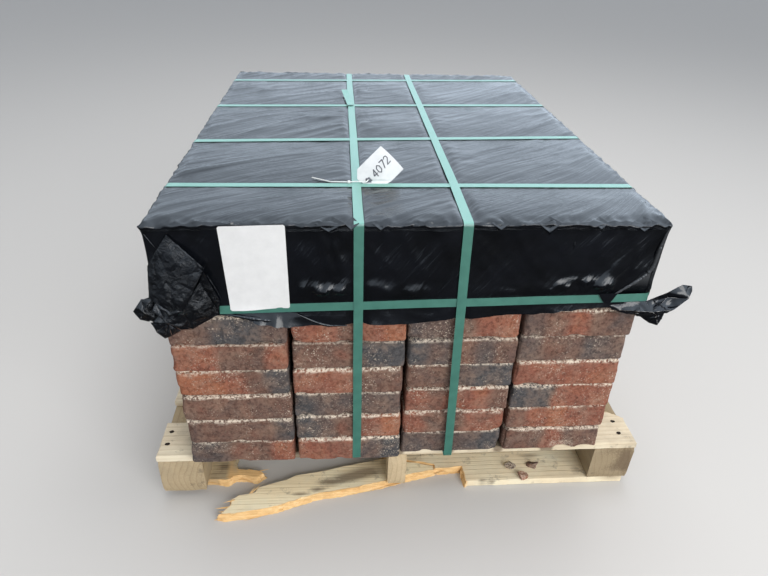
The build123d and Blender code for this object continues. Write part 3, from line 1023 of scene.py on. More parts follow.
def left_flap():
    """Facets of the pleated corner that lies over the front at the left."""
    top = on_front(-0.390, 0.630, 0.004)
    shoulder = on_front(-0.346, 0.582, 0.011)
    notch = on_front(-0.340, 0.570, 0.014)
    far = on_front(-0.323, 0.511, 0.008)
    low_far = on_front(-0.326, 0.484, 0.006)
    hem = on_front(-0.3715, 0.4595, 0.014)
    tip = on_front(-0.420, 0.4405, 0.014)
    crumple = on_front(-0.400, 0.488, 0.024)
    inner = on_front(-0.380, 0.502, 0.023)
    below_bend = on_front(-0.359, 0.538, 0.022)
    bend = on_front(-0.340, 0.574, 0.020)
    under_bend = on_front(-0.350, 0.548, 0.010)
    shoulder_left = on_front(-0.4094, 0.603, 0.005)
    corner = on_front(-0.4300, 0.572, -0.002)
    corner_low = on_front(-0.4370, 0.514, 0.002)
    crumple_left = on_front(-0.424, 0.512, 0.014)
    hem_left = on_front(-0.440, 0.470, 0.008)
    middle = on_front(-0.392, 0.560, 0.017)
    facets = [
        patch((top, shoulder_left, middle, bend), 0.004, 0.003, 1.0, 0.0010),
        patch((shoulder_left, crumple_left, crumple, middle), 0.004, 0.003, 1.4, 0.0015),
        patch((middle, crumple, inner, below_bend), 0.004, 0.002, 1.8, 0.0013),
        patch((middle, below_bend, bend, bend), 0.004, 0.001, 1.9, 0.0010),
        patch((top, bend, notch, shoulder), 0.004, 0.001, 2.0),
        patch((shoulder_left, corner, corner_low, crumple_left), 0.004, 0.002, 3.0, 0.0020),
        patch((notch, under_bend, low_far, far), 0.004, 0.001, 5.0),
        patch((under_bend, inner, hem, low_far), 0.004, 0.004, 6.0, 0.0020),
        patch((under_bend, below_bend, inner, inner), 0.004, 0.000, 6.5),
    ]
    ring = [inner, crumple_left, on_front(-0.429, 0.500, 0.020), on_front(-0.419, 0.4905, 0.012),
            on_front(-0.430, 0.480, 0.022), hem_left, on_front(-0.434, 0.452, 0.010), tip,
            on_front(-0.405, 0.452, 0.022), on_front(-0.392, 0.456, 0.012), hem, inner]
    return facets + fan(on_front(-0.406, 0.480, 0.026), ring, 7.0, 0.0032)


def left_ear():
    """The blunt free corner that stands out at the left."""
    root = on_front(-0.431, 0.514, 0.004)
    upper = on_front(-0.4504, 0.5108, 0.000)
    point = on_front(-0.4687, 0.4853, -0.002)
    under = on_front(-0.4573, 0.4739, 0.006)
    low = on_front(-0.4450, 0.4673, 0.002)
    inner = on_front(-0.4310, 0.4800, 0.010)
    ring = [root, upper, on_front(-0.4600, 0.4980, 0.006), point, under, low, inner, root]
    behind = (on_front(-0.447, 0.510, -0.001), on_front(-0.420, 0.520, -0.001),
              on_front(-0.418, 0.452, 0.004), on_front(-0.443, 0.468, 0.000))
    return fan(on_front(-0.4460, 0.4925, 0.012), ring, 11.0, 0.0020) + [patch(behind, 0.004, 0, 12.0)]


def right_ear():
    """The long free corner at the right: a lobe under the girth, a point, and the fold over the girth."""
    root = on_front(0.3344, 0.4930, 0.001)
    under_strap = on_front(0.4049, 0.4960, 0.002)
    elbow = on_front(0.4330, 0.5200, 0.012)
    brow = on_front(0.4566, 0.5345, 0.010)
    tip = on_front(0.4765, 0.5305, 0.008)
    tip_low = on_front(0.4735, 0.5250, 0.016)
    chin = on_front(0.4680, 0.5135, 0.022)
    fork = on_front(0.4457, 0.4940, 0.026)
    lobe_low = on_front(0.4362, 0.4500, 0.010)
    hem = on_front(0.3480, 0.4800, 0.003)
    valley = on_front(0.4120, 0.4870, 0.022)
    inner = on_front(0.4390, 0.5075, 0.008)
    over_girth = (on_front(0.3160, 0.5140, 0.004), on_front(0.3500, 0.5150, 0.005),
                  on_front(0.3400, 0.4960, 0.006), on_front(0.3290, 0.4955, 0.005))
    facets = [
        patch((root, under_strap, valley, hem), 0.003, 0.002, 13.0, 0.0022),
        patch((under_strap, elbow, inner, valley), 0.003, 0.003, 14.0, 0.0022),
        patch((elbow, brow, chin, inner), 0.003, -0.005, 14.5, 0.0018),
        patch((brow, tip, tip_low, chin), 0.003, 0.002, 15.0, 0.0014),
        patch((inner, chin, fork, valley), 0.003, 0.003, 15.5, 0.0020),
        patch(over_girth, 0.003, 0.0, 17.0, 0.0004),
    ]
    ring = [valley, hem, on_front(0.4032, 0.4651, 0.004), on_front(0.4191, 0.4550, 0.010), lobe_low,
            on_front(0.4420, 0.4590, 0.006), on_front(0.4402, 0.4800, 0.012), fork, valley]
    return facets + fan(on_front(0.4250, 0.4740, 0.016), ring, 16.0, 0.0026)


def back_flap(side):
    """A plain folded corner over the film's back, at one side."""
    x = film_middle.x + side * film_half.x
    y = film_high.y
    top = Vector((x, y + 0.001, film_high.z - 0.004))
    low = Vector((x - side * 0.006, y + 0.007, 0.470))
    far = Vector((x - side * 0.155, y + 0.009, 0.478))
    middle = Vector((x - side * 0.080, y + 0.004, 0.560))
    tail = Vector((x + side * 0.012, y + 0.012, 0.452))
    return [patch((top, middle, far, low), 0.005, 0.002, 20.0 + side),
            patch((low, far, far, tail), 0.005, 0.002, 22.0 + side, 0.002)]


# The thin bright folds over the film's front: places, how far they stand off, and their radius
roll_places = (
    (((0.4070, 0.6400), (0.4024, 0.6074), (0.3999, 0.5617), (0.3884, 0.5461), (0.3623, 0.5243),
      (0.3344, 0.5010)), 0.0015, 0.0036),
    (((0.3995, 0.6100), (0.3945, 0.5650), (0.3840, 0.5500), (0.3640, 0.5340)), 0.0015, 0.0018),
    (((-0.4295, 0.6408), (-0.4200, 0.6215), (-0.4094, 0.6035)), 0.0020, 0.0010),
    (((-0.3740, 0.6130), (-0.3560, 0.5930), (-0.3400, 0.5735)), 0.0110, 0.0012),
    (((-0.3370, 0.5620), (-0.3260, 0.5350), (-0.3190, 0.5140)), 0.0100, 0.0008),
    (((-0.3420, 0.5560), (-0.3330, 0.5300), (-0.3250, 0.5060)), 0.0105, 0.0009),
    (((-0.3074, 0.4800), (-0.2783, 0.4735), (-0.2454, 0.4680), (-0.2170, 0.4660)), 0.0050, 0.0042),
    (((-0.1994, 0.4809), (-0.1697, 0.4639), (-0.1495, 0.4560), (-0.1151, 0.4556)), 0.0050, 0.0027),
    (((-0.1300, 0.6220), (-0.1200, 0.5900), (-0.1130, 0.5600)), 0.0005, 0.0014),
    (((0.2550, 0.6150), (0.2560, 0.5990)), 0.0005, 0.0010),
)


def crease_rolls():
    """All the thin bright folds."""
    return [roll([on_front(x, z, off) for x, z in places], radius, 1.0 + step)
            for step, (places, off, radius) in enumerate(roll_places)]


def add_film(material):
    """The whole film as one piece: the cap, its pleated corners, its ears and its thin folds."""
    points, faces, flats = film_cap()
    creased = [0.0] * len(points)
    dust_and_sheen = [painted_sheen_share(point) for point in points]
    rolls = crease_rolls()
    tucks = [facet for step, spot in enumerate(tuck_places) for facet in tuck(*spot, 30.0 + step)]
    # Each group: its facets, how creased they are, and how much painted sheen they get; the roll along the right
    # fold gets painted sheen
    groups = ((left_flap() + left_ear(), 1.0, 0.0),
              (right_ear() + back_flap(-1) + back_flap(1), 0.0, 0.0),
              (rolls[:1], 0.0, 0.7),
              (rolls[1:] + tucks, 0.0, 0.0))
    for facets, crease, painted_sheen_level in groups:
        for facet_points, facet_faces in facets:
            creased += [crease] * len(facet_points)
            dust_and_sheen += [painted_sheen_level] * len(facet_points)
            flats += [Vector((point.x, point.z, 0)) for point in facet_points]
            add_part(points, faces, facet_points, facet_faces)
    piece = mesh_object("film", points, faces, material)
    point_vectors(piece, "flat", flats)
    point_values(piece, "creased", creased)
    point_values(piece, "dust_and_sheen", dust_and_sheen)
    point_vectors(piece, "flow", [flow_place(point) for point in points])
    keep_with(piece, "film", "film_cover")


# Straps, label, tag and tie

def ribbon(path, widths, outs):
    """Points, faces and flat places of a band along a path, its width and outward ways given."""
    points, flats = [], []
    travel = 0.0
    for step, (spot, wide, out) in enumerate(zip(path, widths, outs)):
        if step:
            travel += (spot - path[step - 1]).length
        half = wide * (strap_width / 2)
        lift = out * strap_thickness
        points += [spot - half, spot + half, spot + half + lift, spot - half + lift]
        low = Vector((travel, -strap_width / 2, 0))
        high = Vector((travel, strap_width / 2, 0))
        flats += [low, high, high, low]
    end = 4 * (len(path) - 1)
    faces = [[base + corner, base + (corner + 1) % 4, base + 4 + (corner + 1) % 4, base + 4 + corner]
             for base in range(0, end, 4) for corner in range(4)]
    faces += [[3, 2, 1, 0], [end, end + 1, end + 2, end + 3]]
    return points, faces, flats


def smooth_line(stops, radius, cell):
    """A line through corner points with its corners rounded, as points close together."""
    line = [stops[0]]
    for before, corner, after in zip(stops, stops[1:], stops[2:]):
        reach = min(radius, (corner - before).length / 2, (after - corner).length / 2)
        start = corner + (before - corner).normalized() * reach
        end = corner + (after - corner).normalized() * reach
        for step in range(7):
            share = step / 6
            line.append(start.lerp(corner, share).lerp(corner.lerp(end, share), share))
    line.append(stops[-1])
    close = [line[0]]
    for spot in line[1:]:
        first = close[-1]
        count = max(1, math.ceil((spot - first).length / cell))
        close += [first.lerp(spot, (step + 1) / count) for step in range(count)]
    return close


def add_band(name, path, widths, outs, material, *nodes):
    """A piece of strapping along a path."""
    points, faces, flats = ribbon(path, widths, outs)
    piece = mesh_object(name, points, faces, material, smooth=False)
    point_vectors(piece, "flat", flats)
    keep_with(piece, "strap_plastic", *nodes)


def add_strap(name, node, stops, wide, material):
    """A strap round the load through corner points, its width lying along one way."""
    path = smooth_line(stops, 0.007, 0.012)
    last = len(path) - 1
    heart = Vector((film_middle.x, film_middle.y, 0.38))
    moved, widths, outs = [], [], []
    for step, spot in enumerate(path):
        onward = (path[min(step + 1, last)] - path[max(step - 1, 0)]).normalized()
        side = (wide - onward * wide.dot(onward)).normalized()
        out = side.cross(onward).normalized()
        if out.dot(heart - spot) > 0:
            out = -out
        sway = 0.0007 * noise.noise(spot * 7 + Vector((len(name), 0, 0)))
        moved.append(spot + side * sway)
        widths.append(side)
        outs.append(out)
    add_band(name, moved, widths, outs, material, node)


def add_long_strap(name, node, x_top, x_low, material):
    """A strap from the front to the back, over all the others, its front part leaning a little."""
    low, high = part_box(node)
    under = low.z + strap_thickness
    over = high.z - strap_thickness
    y_front = low.y + strap_thickness - 0.0012
    y_back = high.y - strap_thickness + 0.0006
    x_edge = x_top - 0.35 * (x_low - x_top)
    x_knee = x_low + (x_edge - x_low) * (strap_bend - under) / (over - under)
    stops = [Vector((x_low, film_middle.y, under)), Vector((x_low, y_front - 0.0010, under)),
             Vector((x_knee, y_front - 0.0004, strap_bend)), Vector((x_edge, y_front, over)),
             Vector((x_top, cross_strap_places[0][0], over)), Vector((x_top, y_back, over)),
             Vector((x_top, y_back, strap_bend)), Vector((x_top, y_back - 0.003, under)),
             Vector((x_low, film_middle.y, under))]
    add_strap(name, node, stops, Vector((1, 0, 0)), material)


def add_cross_strap(number, material):
    """A strap from left to right under the long ones, turned a little."""
    node = f"cross_strap_{number}"
    low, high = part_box(node)
    place, skew = cross_strap_places[number - 1]
    under = low.z + strap_thickness
    over = high.z - strap_thickness
    x_left = low.x + strap_thickness
    x_right = high.x - strap_thickness

    def at(x, z):
        return Vector((x, place + (x - film_middle.x) * math.tan(skew), z))

    middle = at(film_middle.x, under)
    stops = [middle, at(x_left + 0.004, under), at(x_left, strap_bend), at(x_left, over),
             at(x_right, over), at(x_right, strap_bend), at(x_right - 0.004, under), middle]
    add_strap(f"strap_across_{number}", node, stops, Vector((-math.sin(skew), math.cos(skew), 0)), material)


def add_girth(material):
    """The strap round the load's sides, a little higher at the right."""
    x_left, x_right = girth_low.x + strap_thickness, girth_high.x - strap_thickness
    y_front, y_back = girth_low.y + strap_thickness - 0.0004, girth_high.y - strap_thickness
    places = ((film_middle.x, y_back), (x_right, y_back), (x_right, y_front), (x_left, y_front),
              (x_left, y_back), (film_middle.x, y_back))
    stops = [Vector((x, y, girth_line(x))) for x, y in places]
    add_strap("strap_girth", "girth_strap", stops, Vector((-girth_rise, 0, 1)).normalized(), material)


label_corners = [Vector((-0.3084, 0, 0.4882)), Vector((-0.2103, 0, 0.4908)),
                 Vector((-0.2100, 0, 0.6452)), Vector((-0.3136, 0, 0.6425))]
label_height = 0.155


def add_label(material):
    """The label on the film's front, bare, its lower edge a little curled off the strap."""
    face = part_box("label_sheet")[1].y - 0.0009
    low_left, low_right, top_right, top_left = label_corners
    rows, columns = 60, 40
    trim = 0.0025
    points = []
    for row in range(rows + 1):
        up = row / rows
        from_end = min(up, 1 - up) * label_height
        cut = trim - math.sqrt(max(0.0, trim ** 2 - (trim - from_end) ** 2)) if from_end < trim else 0.0
        for column in range(columns + 1):
            across = column / columns
            spot = low_left.lerp(low_right, across).lerp(top_left.lerp(top_right, across), up)
            spot.x += (0.5 - across) * 2 * cut
            curl = 0.0032 * max(0.0, 1 - up / 0.10) ** 2 * (0.5 + 0.7 * math.sin(5 * across + 0.5))
            spot.y = face - curl - 0.0003 * noise.noise(Vector((30 * spot.x, 0, 22 * spot.z)))
            points.append(spot)
    piece = mesh_object("label", points, grid_faces(rows, columns), material)
    keep_with(piece, "paper", "label_sheet")


# The pallet

def top_loop(node):
    """The outline of a CAD board's top face, seen from above."""
    source = merged(node)
    top = max(vertex.co.z for vertex in source.verts)
    faces = [face for face in source.faces
             if face.normal.z > 0.9 and face.calc_center_median().z > top - 1e-4]
    follows = {}
    for face in faces:
        for loop in face.loops:
            if not any(other in faces and other is not face for other in loop.edge.link_faces):
                follows[loop.vert] = loop.link_loop_next.vert
    start = next(iter(follows))
    line, vertex = [], start
    while True:
        line.append(vertex.co.copy())
        vertex = follows[vertex]
        if vertex is start:
            break
    source.free()
    return line


def box_loop(node):
    """The outline of a plain stick, seen from above."""
    low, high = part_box(node)
    corners = ((low.x, low.y), (high.x, low.y), (high.x, high.y), (low.x, high.y))
    return [Vector((x, y, 0)) for x, y in corners]


def close_points(line, cell):
    """Points close together round a closed outline, each with its outward way."""
    points, outs = [], []
    for first, second in zip(line, line[1:] + line[:1]):
        step = (second - first) * Vector((1, 1, 0))
        count = max(1, math.ceil(step.length / cell))
        out = Vector((step.y, -step.x, 0)).normalized()
        for number in range(count):
            points.append(first + step * (number / count))
            outs.append(out)
    smooth = [(out + before).normalized() for before, out in zip(outs[-1:] + outs[:-1], outs)]
    return points, smooth


def band(lower, upper):
    """Faces between two rings of points."""
    count = len(lower)
    return [[lower[step], lower[(step + 1) % count], upper[(step + 1) % count], upper[step]]
            for step in range(count)]


plank_heights = (0.0, 0.12, 0.35, 0.65, 0.88, 1.0)


def rough_plank(node, line, fresh_at, seed, arris, top_fresh=None):
    """Points, faces and fresh values of a stick with worn edges, torn where its wood is freshly broken."""
    low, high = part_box(node)
    rim, outs = close_points(line, 0.006 if fresh_at else 0.012)
    points, fresh = [], []
    count = len(rim)
    last = len(plank_heights) - 1
    for level, share in enumerate(plank_heights):
        edge = level in (0, last)
        inset = arris if edge else 0.0
        z = low.z + share * (high.z - low.z)
        for spot, out in zip(rim, outs):
            torn = fresh_at(spot, out) if fresh_at else 0.0
            at = Vector((spot.x, spot.y, z))
            jag = 0.0035 * rough(Vector((0.25 * at.x, at.y, 2.0 * at.z)), 130, seed)
            jag += 0.002 * rough(at, 210, seed)
            worn = 0.0008 * rough(at, 40, seed) - 0.0003 - inset * (1 + 0.6 * rough(at, 50, seed + 2))
            at += out * (torn * (jag + 0.0055 * (1 - share) - 0.001) + (1 - torn) * worn)
            if edge:
                at.z += 0.0002 * rough(at, 60, seed + 4)
            points.append(at)
            fresh.append(torn)
    rings = [range(level * count, (level + 1) * count) for level in range(last + 1)]
    faces = [face for lower, upper in zip(rings, rings[1:]) for face in band(lower, upper)]
    for z, edge, upward in ((high.z, rings[-1], True), (low.z, rings[0], False)):
        cap = range(len(points), len(points) + count)
        for spot, out in zip(rim, outs):
            points.append(Vector((spot.x, spot.y, z)) - out * (arris + 0.0012))
            fresh.append(1.0 if top_fresh and top_fresh(spot) else 0.0)
        faces += [face if upward else face[::-1] for face in band(edge, cap) + [list(cap)]]
    return points, faces, fresh


def sliver(root, tip, width, seed):
    """A thin splinter of fresh wood, lying flat."""
    way = tip - root
    side = Vector((-way.y, way.x, 0)).normalized() * width / 2
    up = Vector((0, 0, width * 0.35))
    bend = root.lerp(tip, 0.55) + side * 0.5 * rough(root, 90, seed)
    points = [root - side, root + side, root + side + up, root - side + up,
              bend - side * 0.6, bend + side * 0.6, bend + side * 0.6 + up, bend - side * 0.6 + up, tip]
    faces = [[3, 2, 1, 0], [0, 1, 5, 4], [1, 2, 6, 5], [2, 3, 7, 6], [3, 0, 4, 7],
             [4, 5, 8], [5, 6, 8], [6, 7, 8], [7, 4, 8]]
    return points, faces


def dent(x, y, z, seed):
    """The dark mark of a sunken nail head."""
    points = [Vector((x, y, z + 0.0004))]
    for step in range(10):
        turn = 2 * math.pi * step / 10
        size = 0.0042 * (1 + 0.3 * rough(Vector((math.cos(turn), math.sin(turn), seed)), 2, seed))
        points.append(Vector((x + size * 1.25 * math.cos(turn), y + size * math.sin(turn), z + 0.0003)))
    return points, [[0, 1 + step, 1 + (step + 1) % 10] for step in range(10)]


def sliced(piece, cell):
    """Cuts a piece's faces along level lines, so that values can change across them."""
    source = bmesh.new()
    source.from_mesh(piece.data)
    for axis in (0, 1):
        places = [vertex.co[axis] for vertex in source.verts]
        count = int((max(places) - min(places)) / cell)
        for number in range(1, count + 1):
            middle, normal = [0.0, 0.0, 0.0], [0.0, 0.0, 0.0]
            middle[axis] = min(places) + number * cell
            normal[axis] = 1.0
            parts = source.verts[:] + source.edges[:] + source.faces[:]
            bmesh.ops.bisect_plane(source, geom=parts, plane_co=middle, plane_no=normal)
    source.to_mesh(piece.data)
    source.free()


def add_wood(node, slot, material, seed, line=None, fresh_at=None, arris=0.002, slivers=(), dents=(),
             stains=(), cell=0.0, top_fresh=None):
    """One stick of the pallet in place of its CAD solid, with its splinters, nail marks and stains."""
    points, faces, fresh = rough_plank(node, line or box_loop(node), fresh_at, seed, arris, top_fresh)
    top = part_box(node)[1].z
    splinters = [sliver(Vector(root), Vector(tip), width, number)
                 for number, (root, tip, width) in enumerate(slivers)]
    marks = [dent(x, y, top, seed + number) for number, (x, y) in enumerate(dents)]
    dented = [0.0] * len(points)
    for parts, newness, darkness in ((splinters, 1.0, 0.0), (marks, 0.0, 1.0)):
        for more, shapes in parts:
            fresh += [newness] * len(more)
            dented += [darkness] * len(more)
            add_part(points, faces, more, shapes)
    piece = mesh_object(f"{node}_wood", points, faces, material, smooth=False)
    point_values(piece, "fresh", fresh)
    point_values(piece, "dent", dented)
    if cell:
        sliced(piece, cell)
    point_values(piece, "stain", [soiled(vertex.co, stains) for vertex in piece.data.vertices])
    keep_with(piece, slot, node)


def soiled(spot, stains):
    """How dirty a place is, from stains given as place, reach and strength."""
    value = 0.0
    for x, y, z, wide, deep, high, strength in stains:
        away = Vector(((spot.x - x) / wide, (spot.y - y) / deep, (spot.z - z) / high))
        value += strength * math.exp(-away.length_squared)
    return min(1.0, value)


def flat_stains(rows):
    """Stains on the top of the front board, from rows of place, reach and strength."""
    return [(x, y, 0.016, wide, deep, 0.02, strength) for x, y, wide, deep, strength in rows]


def split_fresh(spot, out):
    """Where the swung-out part of the front board is freshly broken: its front edge and its tip."""
    return 1.0 if out.y < -0.25 or spot.x < -0.34 else 0.0


def stub_fresh(spot, out):
    """Where the left end of the front board is freshly broken."""
    if spot.x < -0.390:
        return 0.5 if out.y < -0.2 and spot.x > -0.455 else 0.0
    return 1.0 if out.y < -0.2 or spot.x > -0.335 else 0.0


def splinter_fresh(spot):
    """The splinter at the end of the stub is fresh wood on its top too."""
    return spot.x > -0.372 and spot.y < -0.476


def right_fresh(spot, out):
    """Where the whole part of the front board is freshly broken."""
    return 1.0 if spot.x < 0.1435 and (out.y < -0.2 or out.x < -0.3) else 0.0


def corner_fresh(spot, out):
    """Where the first deck board's back right corner is bitten away."""
    return 0.6 if spot.x > 0.455 and spot.y > deck_low.y + 0.070 and (out.x > 0.2 or out.y > 0.2) else 0.0


board_tones = ((0.79, 0.70, 0.54), (0.52, 0.41, 0.27))
stringer_shades = (0.80, 1.0, 0.55)
stringer_stains = ((0.484, -0.533, 0.084, 0.018, 0.03, 0.020, 1.0),
                   (0.470, -0.533, 0.052, 0.022, 0.03, 0.016, 0.80),
                   (0.444, -0.533, 0.099, 0.026, 0.03, 0.008, 0.65),
                   (0.495, -0.533, 0.045, 0.010, 0.03, 0.030, 0.80),
                   (0.436, -0.533, 0.036, 0.012, 0.03, 0.014, 0.45))
nail_places = ((-0.484, 0.068), (-0.485, 0.034), (0.472, 0.064), (0.471, 0.029),
               (-0.010, 0.066), (-0.012, 0.031))

# Splinters of the front board's three parts, each as its root, its tip and its width
stub_slivers = (((-0.330, -0.494, 0.009), (-0.290, -0.489, 0.011), 0.004),
                ((-0.360, -0.497, 0.006), (-0.322, -0.506, 0.007), 0.004),
                ((-0.420, -0.506, 0.008), (-0.385, -0.512, 0.006), 0.003),
                ((-0.318, -0.486, 0.012), (-0.286, -0.479, 0.013), 0.003))
split_slivers = (((-0.365, -0.592, 0.004), (-0.388, -0.598, 0.002), 0.006),
                 ((-0.360, -0.585, 0.010), (-0.380, -0.587, 0.014), 0.004),
                 ((-0.356, -0.575, 0.012), (-0.388, -0.580, 0.016), 0.004),
                 ((-0.350, -0.560, 0.015), (-0.372, -0.570, 0.020), 0.003),
                 ((-0.318, -0.544, 0.015), (-0.300, -0.530, 0.024), 0.0025),
                 ((-0.322, -0.546, 0.015), (-0.309, -0.529, 0.020), 0.002),
                 ((-0.250, -0.578, 0.003), (-0.330, -0.601, 0.001), 0.005),
                 ((0.000, -0.521, 0.004), (-0.075, -0.541, 0.002), 0.004))
right_slivers = (((0.040, -0.480, 0.012), (0.078, -0.486, 0.013), 0.003),
                 ((0.1380, -0.500, 0.010), (0.1330, -0.520, 0.006), 0.004),
                 ((0.100, -0.498, 0.010), (0.070, -0.503, 0.006), 0.003))

# Their stains, each as its place, its reach and its strength
stub_stains = ((-0.385, -0.469, 0.016, 0.010, 0.8), (-0.406, -0.512, 0.020, 0.007, 0.8),
               (-0.388, -0.491, 0.05, 0.02, 0.35))
split_stains = ((-0.114, -0.513, 0.030, 0.010, 0.75), (-0.071, -0.500, 0.035, 0.012, 0.70),
                (-0.153, -0.525, 0.028, 0.008, 0.65), (-0.216, -0.551, 0.025, 0.006, 0.75),
                (-0.179, -0.542, 0.022, 0.006, 0.80), (-0.331, -0.546, 0.018, 0.008, 0.45),
                (-0.05, -0.470, 0.08, 0.02, 0.40), (-0.100, -0.500, 0.075, 0.020, 0.30),
                (-0.170, -0.520, 0.045, 0.014, 0.22))
right_stains = ((0.302, -0.466, 0.035, 0.010, 0.60), (0.355, -0.490, 0.010, 0.007, 0.65),
                (0.393, -0.512, 0.012, 0.016, 0.65), (0.031, -0.463, 0.05, 0.015, 0.55),
                (0.178, -0.531, 0.012, 0.004, 0.80), (0.200, -0.533, 0.010, 0.004, 0.70))


def nodes_named(start):
    """The CAD nodes of one kind, in order."""
    return [name for name in sorted(cad_nodes) if name.startswith(start)]


def add_front_deck_board(node, finish, marks):
    """The first deck board, bitten at its back right corner and darker below the gaps between stones."""
    low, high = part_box(node)
    line = top_loop(node)
    for spot in line:
        spot.y += 0.0025 if spot.y > low.y + 0.085 else -0.0025 if spot.y < low.y + 0.01 else 0.0
    edges = sorted({(round(first.x, 3), round(last.x, 3)) for first, last in stone_boxes(layer_names[0])})
    # The board is made darker below each gap between the stones of the lowest layer
    gaps = [((before[1] + after[0]) / 2, low.y, high.z, 0.012, 0.05, 0.02, 1.2)
            for before, after in zip(edges, edges[1:])]
    add_wood(node, "deck_wood", finish, 1, line, corner_fresh, dents=marks, stains=gaps, cell=0.012)


def add_deck():
    """The deck boards with their nail marks."""
    for number, node in enumerate(nodes_named("deck_board"), 1):
        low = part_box(node)[0]
        marks = [(x, low.y + y) for x, y in nail_places]
        finish = wood(f"wood_{node}", "x", number, *board_tones)
        if number == 1:
            add_front_deck_board(node, finish, marks)
        else:
            add_wood(node, "deck_wood", finish, number, dents=marks)


def add_stringers():
    """The three stringers, the right one darker and soiled at its front end."""
    for number, node in enumerate(nodes_named("stringer")):
        shade = stringer_shades[number]
        tones = [tuple(shade * value for value in tone) for tone in ((0.60, 0.48, 0.31), (0.38, 0.27, 0.16))]
        finish = wood(f"wood_{node}", "y", 3 + number, *tones)
        add_wood(node, "stringer_wood", finish, 20 + number, stains=stringer_stains if number == 2 else ())


def add_bottom_boards():
    """The middle and rear bottom boards."""
    for number, node in enumerate(nodes_named("bottom_board")):
        add_wood(node, "deck_wood", wood(f"wood_{node}", "x", 12 + number, *board_tones), 30 + number)


def add_lead_board(part, seed, tone, dark, age, fresh_at, slivers, stains, top_fresh=None):
    """One part of the broken front board."""
    node = f"lead_board_{part}"
    finish = wood(f"wood_{part}", "x", seed, tone, dark, age)
    add_wood(node, "lead_wood", finish, seed + 26, top_loop(node), fresh_at, 0.0015, slivers, (),
             flat_stains(stains), 0.010, top_fresh)


def add_pallet():
    """All the wood of the pallet."""
    add_deck()
    add_stringers()
    add_bottom_boards()
    add_lead_board("stub", 15, (0.56, 0.46, 0.30), (0.36, 0.26, 0.15), 0.55,
                   stub_fresh, stub_slivers, stub_stains, splinter_fresh)
    add_lead_board("split", 16, (0.98, 0.85, 0.59), (0.78, 0.62, 0.39), 0.18,
                   split_fresh, split_slivers, split_stains)
    add_lead_board("right", 17, (0.94, 0.82, 0.60), (0.66, 0.52, 0.34), 0.22,
                   right_fresh, right_slivers, right_stains)


# Chips of broken stone: place, size, height, turn, tone and sand
crumb_places = ((0.2490, -0.4963, 0.0115, 0.0065, 0.6, 0.30, 0.75),
                (0.2986, -0.4960, 0.0100, 0.0085, 2.4, 0.45, 0.2),
                (0.2719, -0.5249, 0.0105, 0.0075, 0.3, 0.95, 0.45))


def add_crumbs(material):
    """Three chips of broken stone lying on the front board."""
    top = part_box("lead_board_right")[1].z
    points, faces, stones, tones, grit = [], [], [], [], []
    for number, (x, y, size, tall, turn, tone, sand) in enumerate(crumb_places):
        half = Vector((size, size * 0.75, tall))
        block, block_faces = box_lattice(*[grid_lines(-reach, reach, reach / 2) for reach in half])
        moved = []
        for point in block:
            round_way = Vector((point.x / half.x, point.y / half.y, point.z / half.z))
            swell = 1 - 0.30 * (round_way.length - 1) + 0.5 * rough(point, 70, 9 * number)
            slope = 0.55 * (1 - 0.5 * point.x / half.x)
            spot = Vector((point.x * swell, point.y * swell, (point.z + half.z) * slope * min(1.1, swell)))
            spot.rotate(Euler((0, 0, turn)))
            moved.append(Vector((x, y, top)) + spot)
        stones += [(number, 2 * number, 5)] * len(block)
        tones += [tone] * len(block)
        grit += [sand] * len(block)
        add_part(points, faces, moved, block_faces)
    add_stone_piece("stone_chips", (points, faces), (stones, grit, tones), material, smooth=False)


# The tag

tag_half = 0.029
tag_ends = (-0.012, 0.061)
tag_lean = math.radians(60)
tag_bend = 0.006
tag_rows, tag_columns = 36, 30
tag_thickness = 0.0005
tag_hole = 0.0036
tag_ring = 0.0062
tag_pen = 0.0004
tag_bold = (2.4, 2.2, 2.4, 2.0)
tag_numbers = (((0.70, 0.0), (0.70, 1.0), (0.0, 0.35), (1.0, 0.35)),
               ((0.5, 0.0), (0.05, 0.25), (0.05, 0.75), (0.5, 1.0), (0.95, 0.75), (0.95, 0.25), (0.5, 0.0)),
               ((0.0, 1.0), (1.0, 1.0), (0.35, 0.0)),
               ((0.0, 0.80), (0.3, 1.0), (0.8, 0.95), (0.9, 0.65), (0.0, 0.0), (1.0, 0.05)))
ink_pieces = 5


def tag_place(across, along, off):
    """A place on the tag, from its hole: flat under the strap, then bent up and a little rolled."""
    strap_middle = sum(corner.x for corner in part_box("long_strap_left")) / 2
    hole = Vector((strap_middle + 0.0225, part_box("cross_strap_1")[1].y + 0.007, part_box("tag")[0].z + 0.0008))
    turned = math.sqrt(0.5)
    x, y = (across + along) * turned, (along - across) * turned + 0.005
    off += 0.0030 - 0.0070 * (across / tag_half) ** 2 * max(0.0, along / tag_ends[1])
    off += 0.0016 * math.sin(60 * along)
    off *= clamp((y + 0.004) / 0.012)
    lean = min(tag_lean, max(0.0, y / tag_bend))
    straight = y - tag_bend * lean
    run = tag_bend * math.sin(lean) + straight * math.cos(lean)
    rise = tag_bend * (1 - math.cos(lean)) + straight * math.sin(lean) if y > 0 else 0.0
    return hole + Vector((x, run - 0.005 - off * math.sin(lean), rise + off * math.cos(lean)))


def tag_spot(row, column):
    """A place across and along the tag, from its row and column, its lower corners cut off."""
    along = tag_ends[0] + (tag_ends[1] - tag_ends[0]) * row / tag_rows
    half = tag_half - max(0.0, -along)
    return half * (2 * column / tag_columns - 1), along


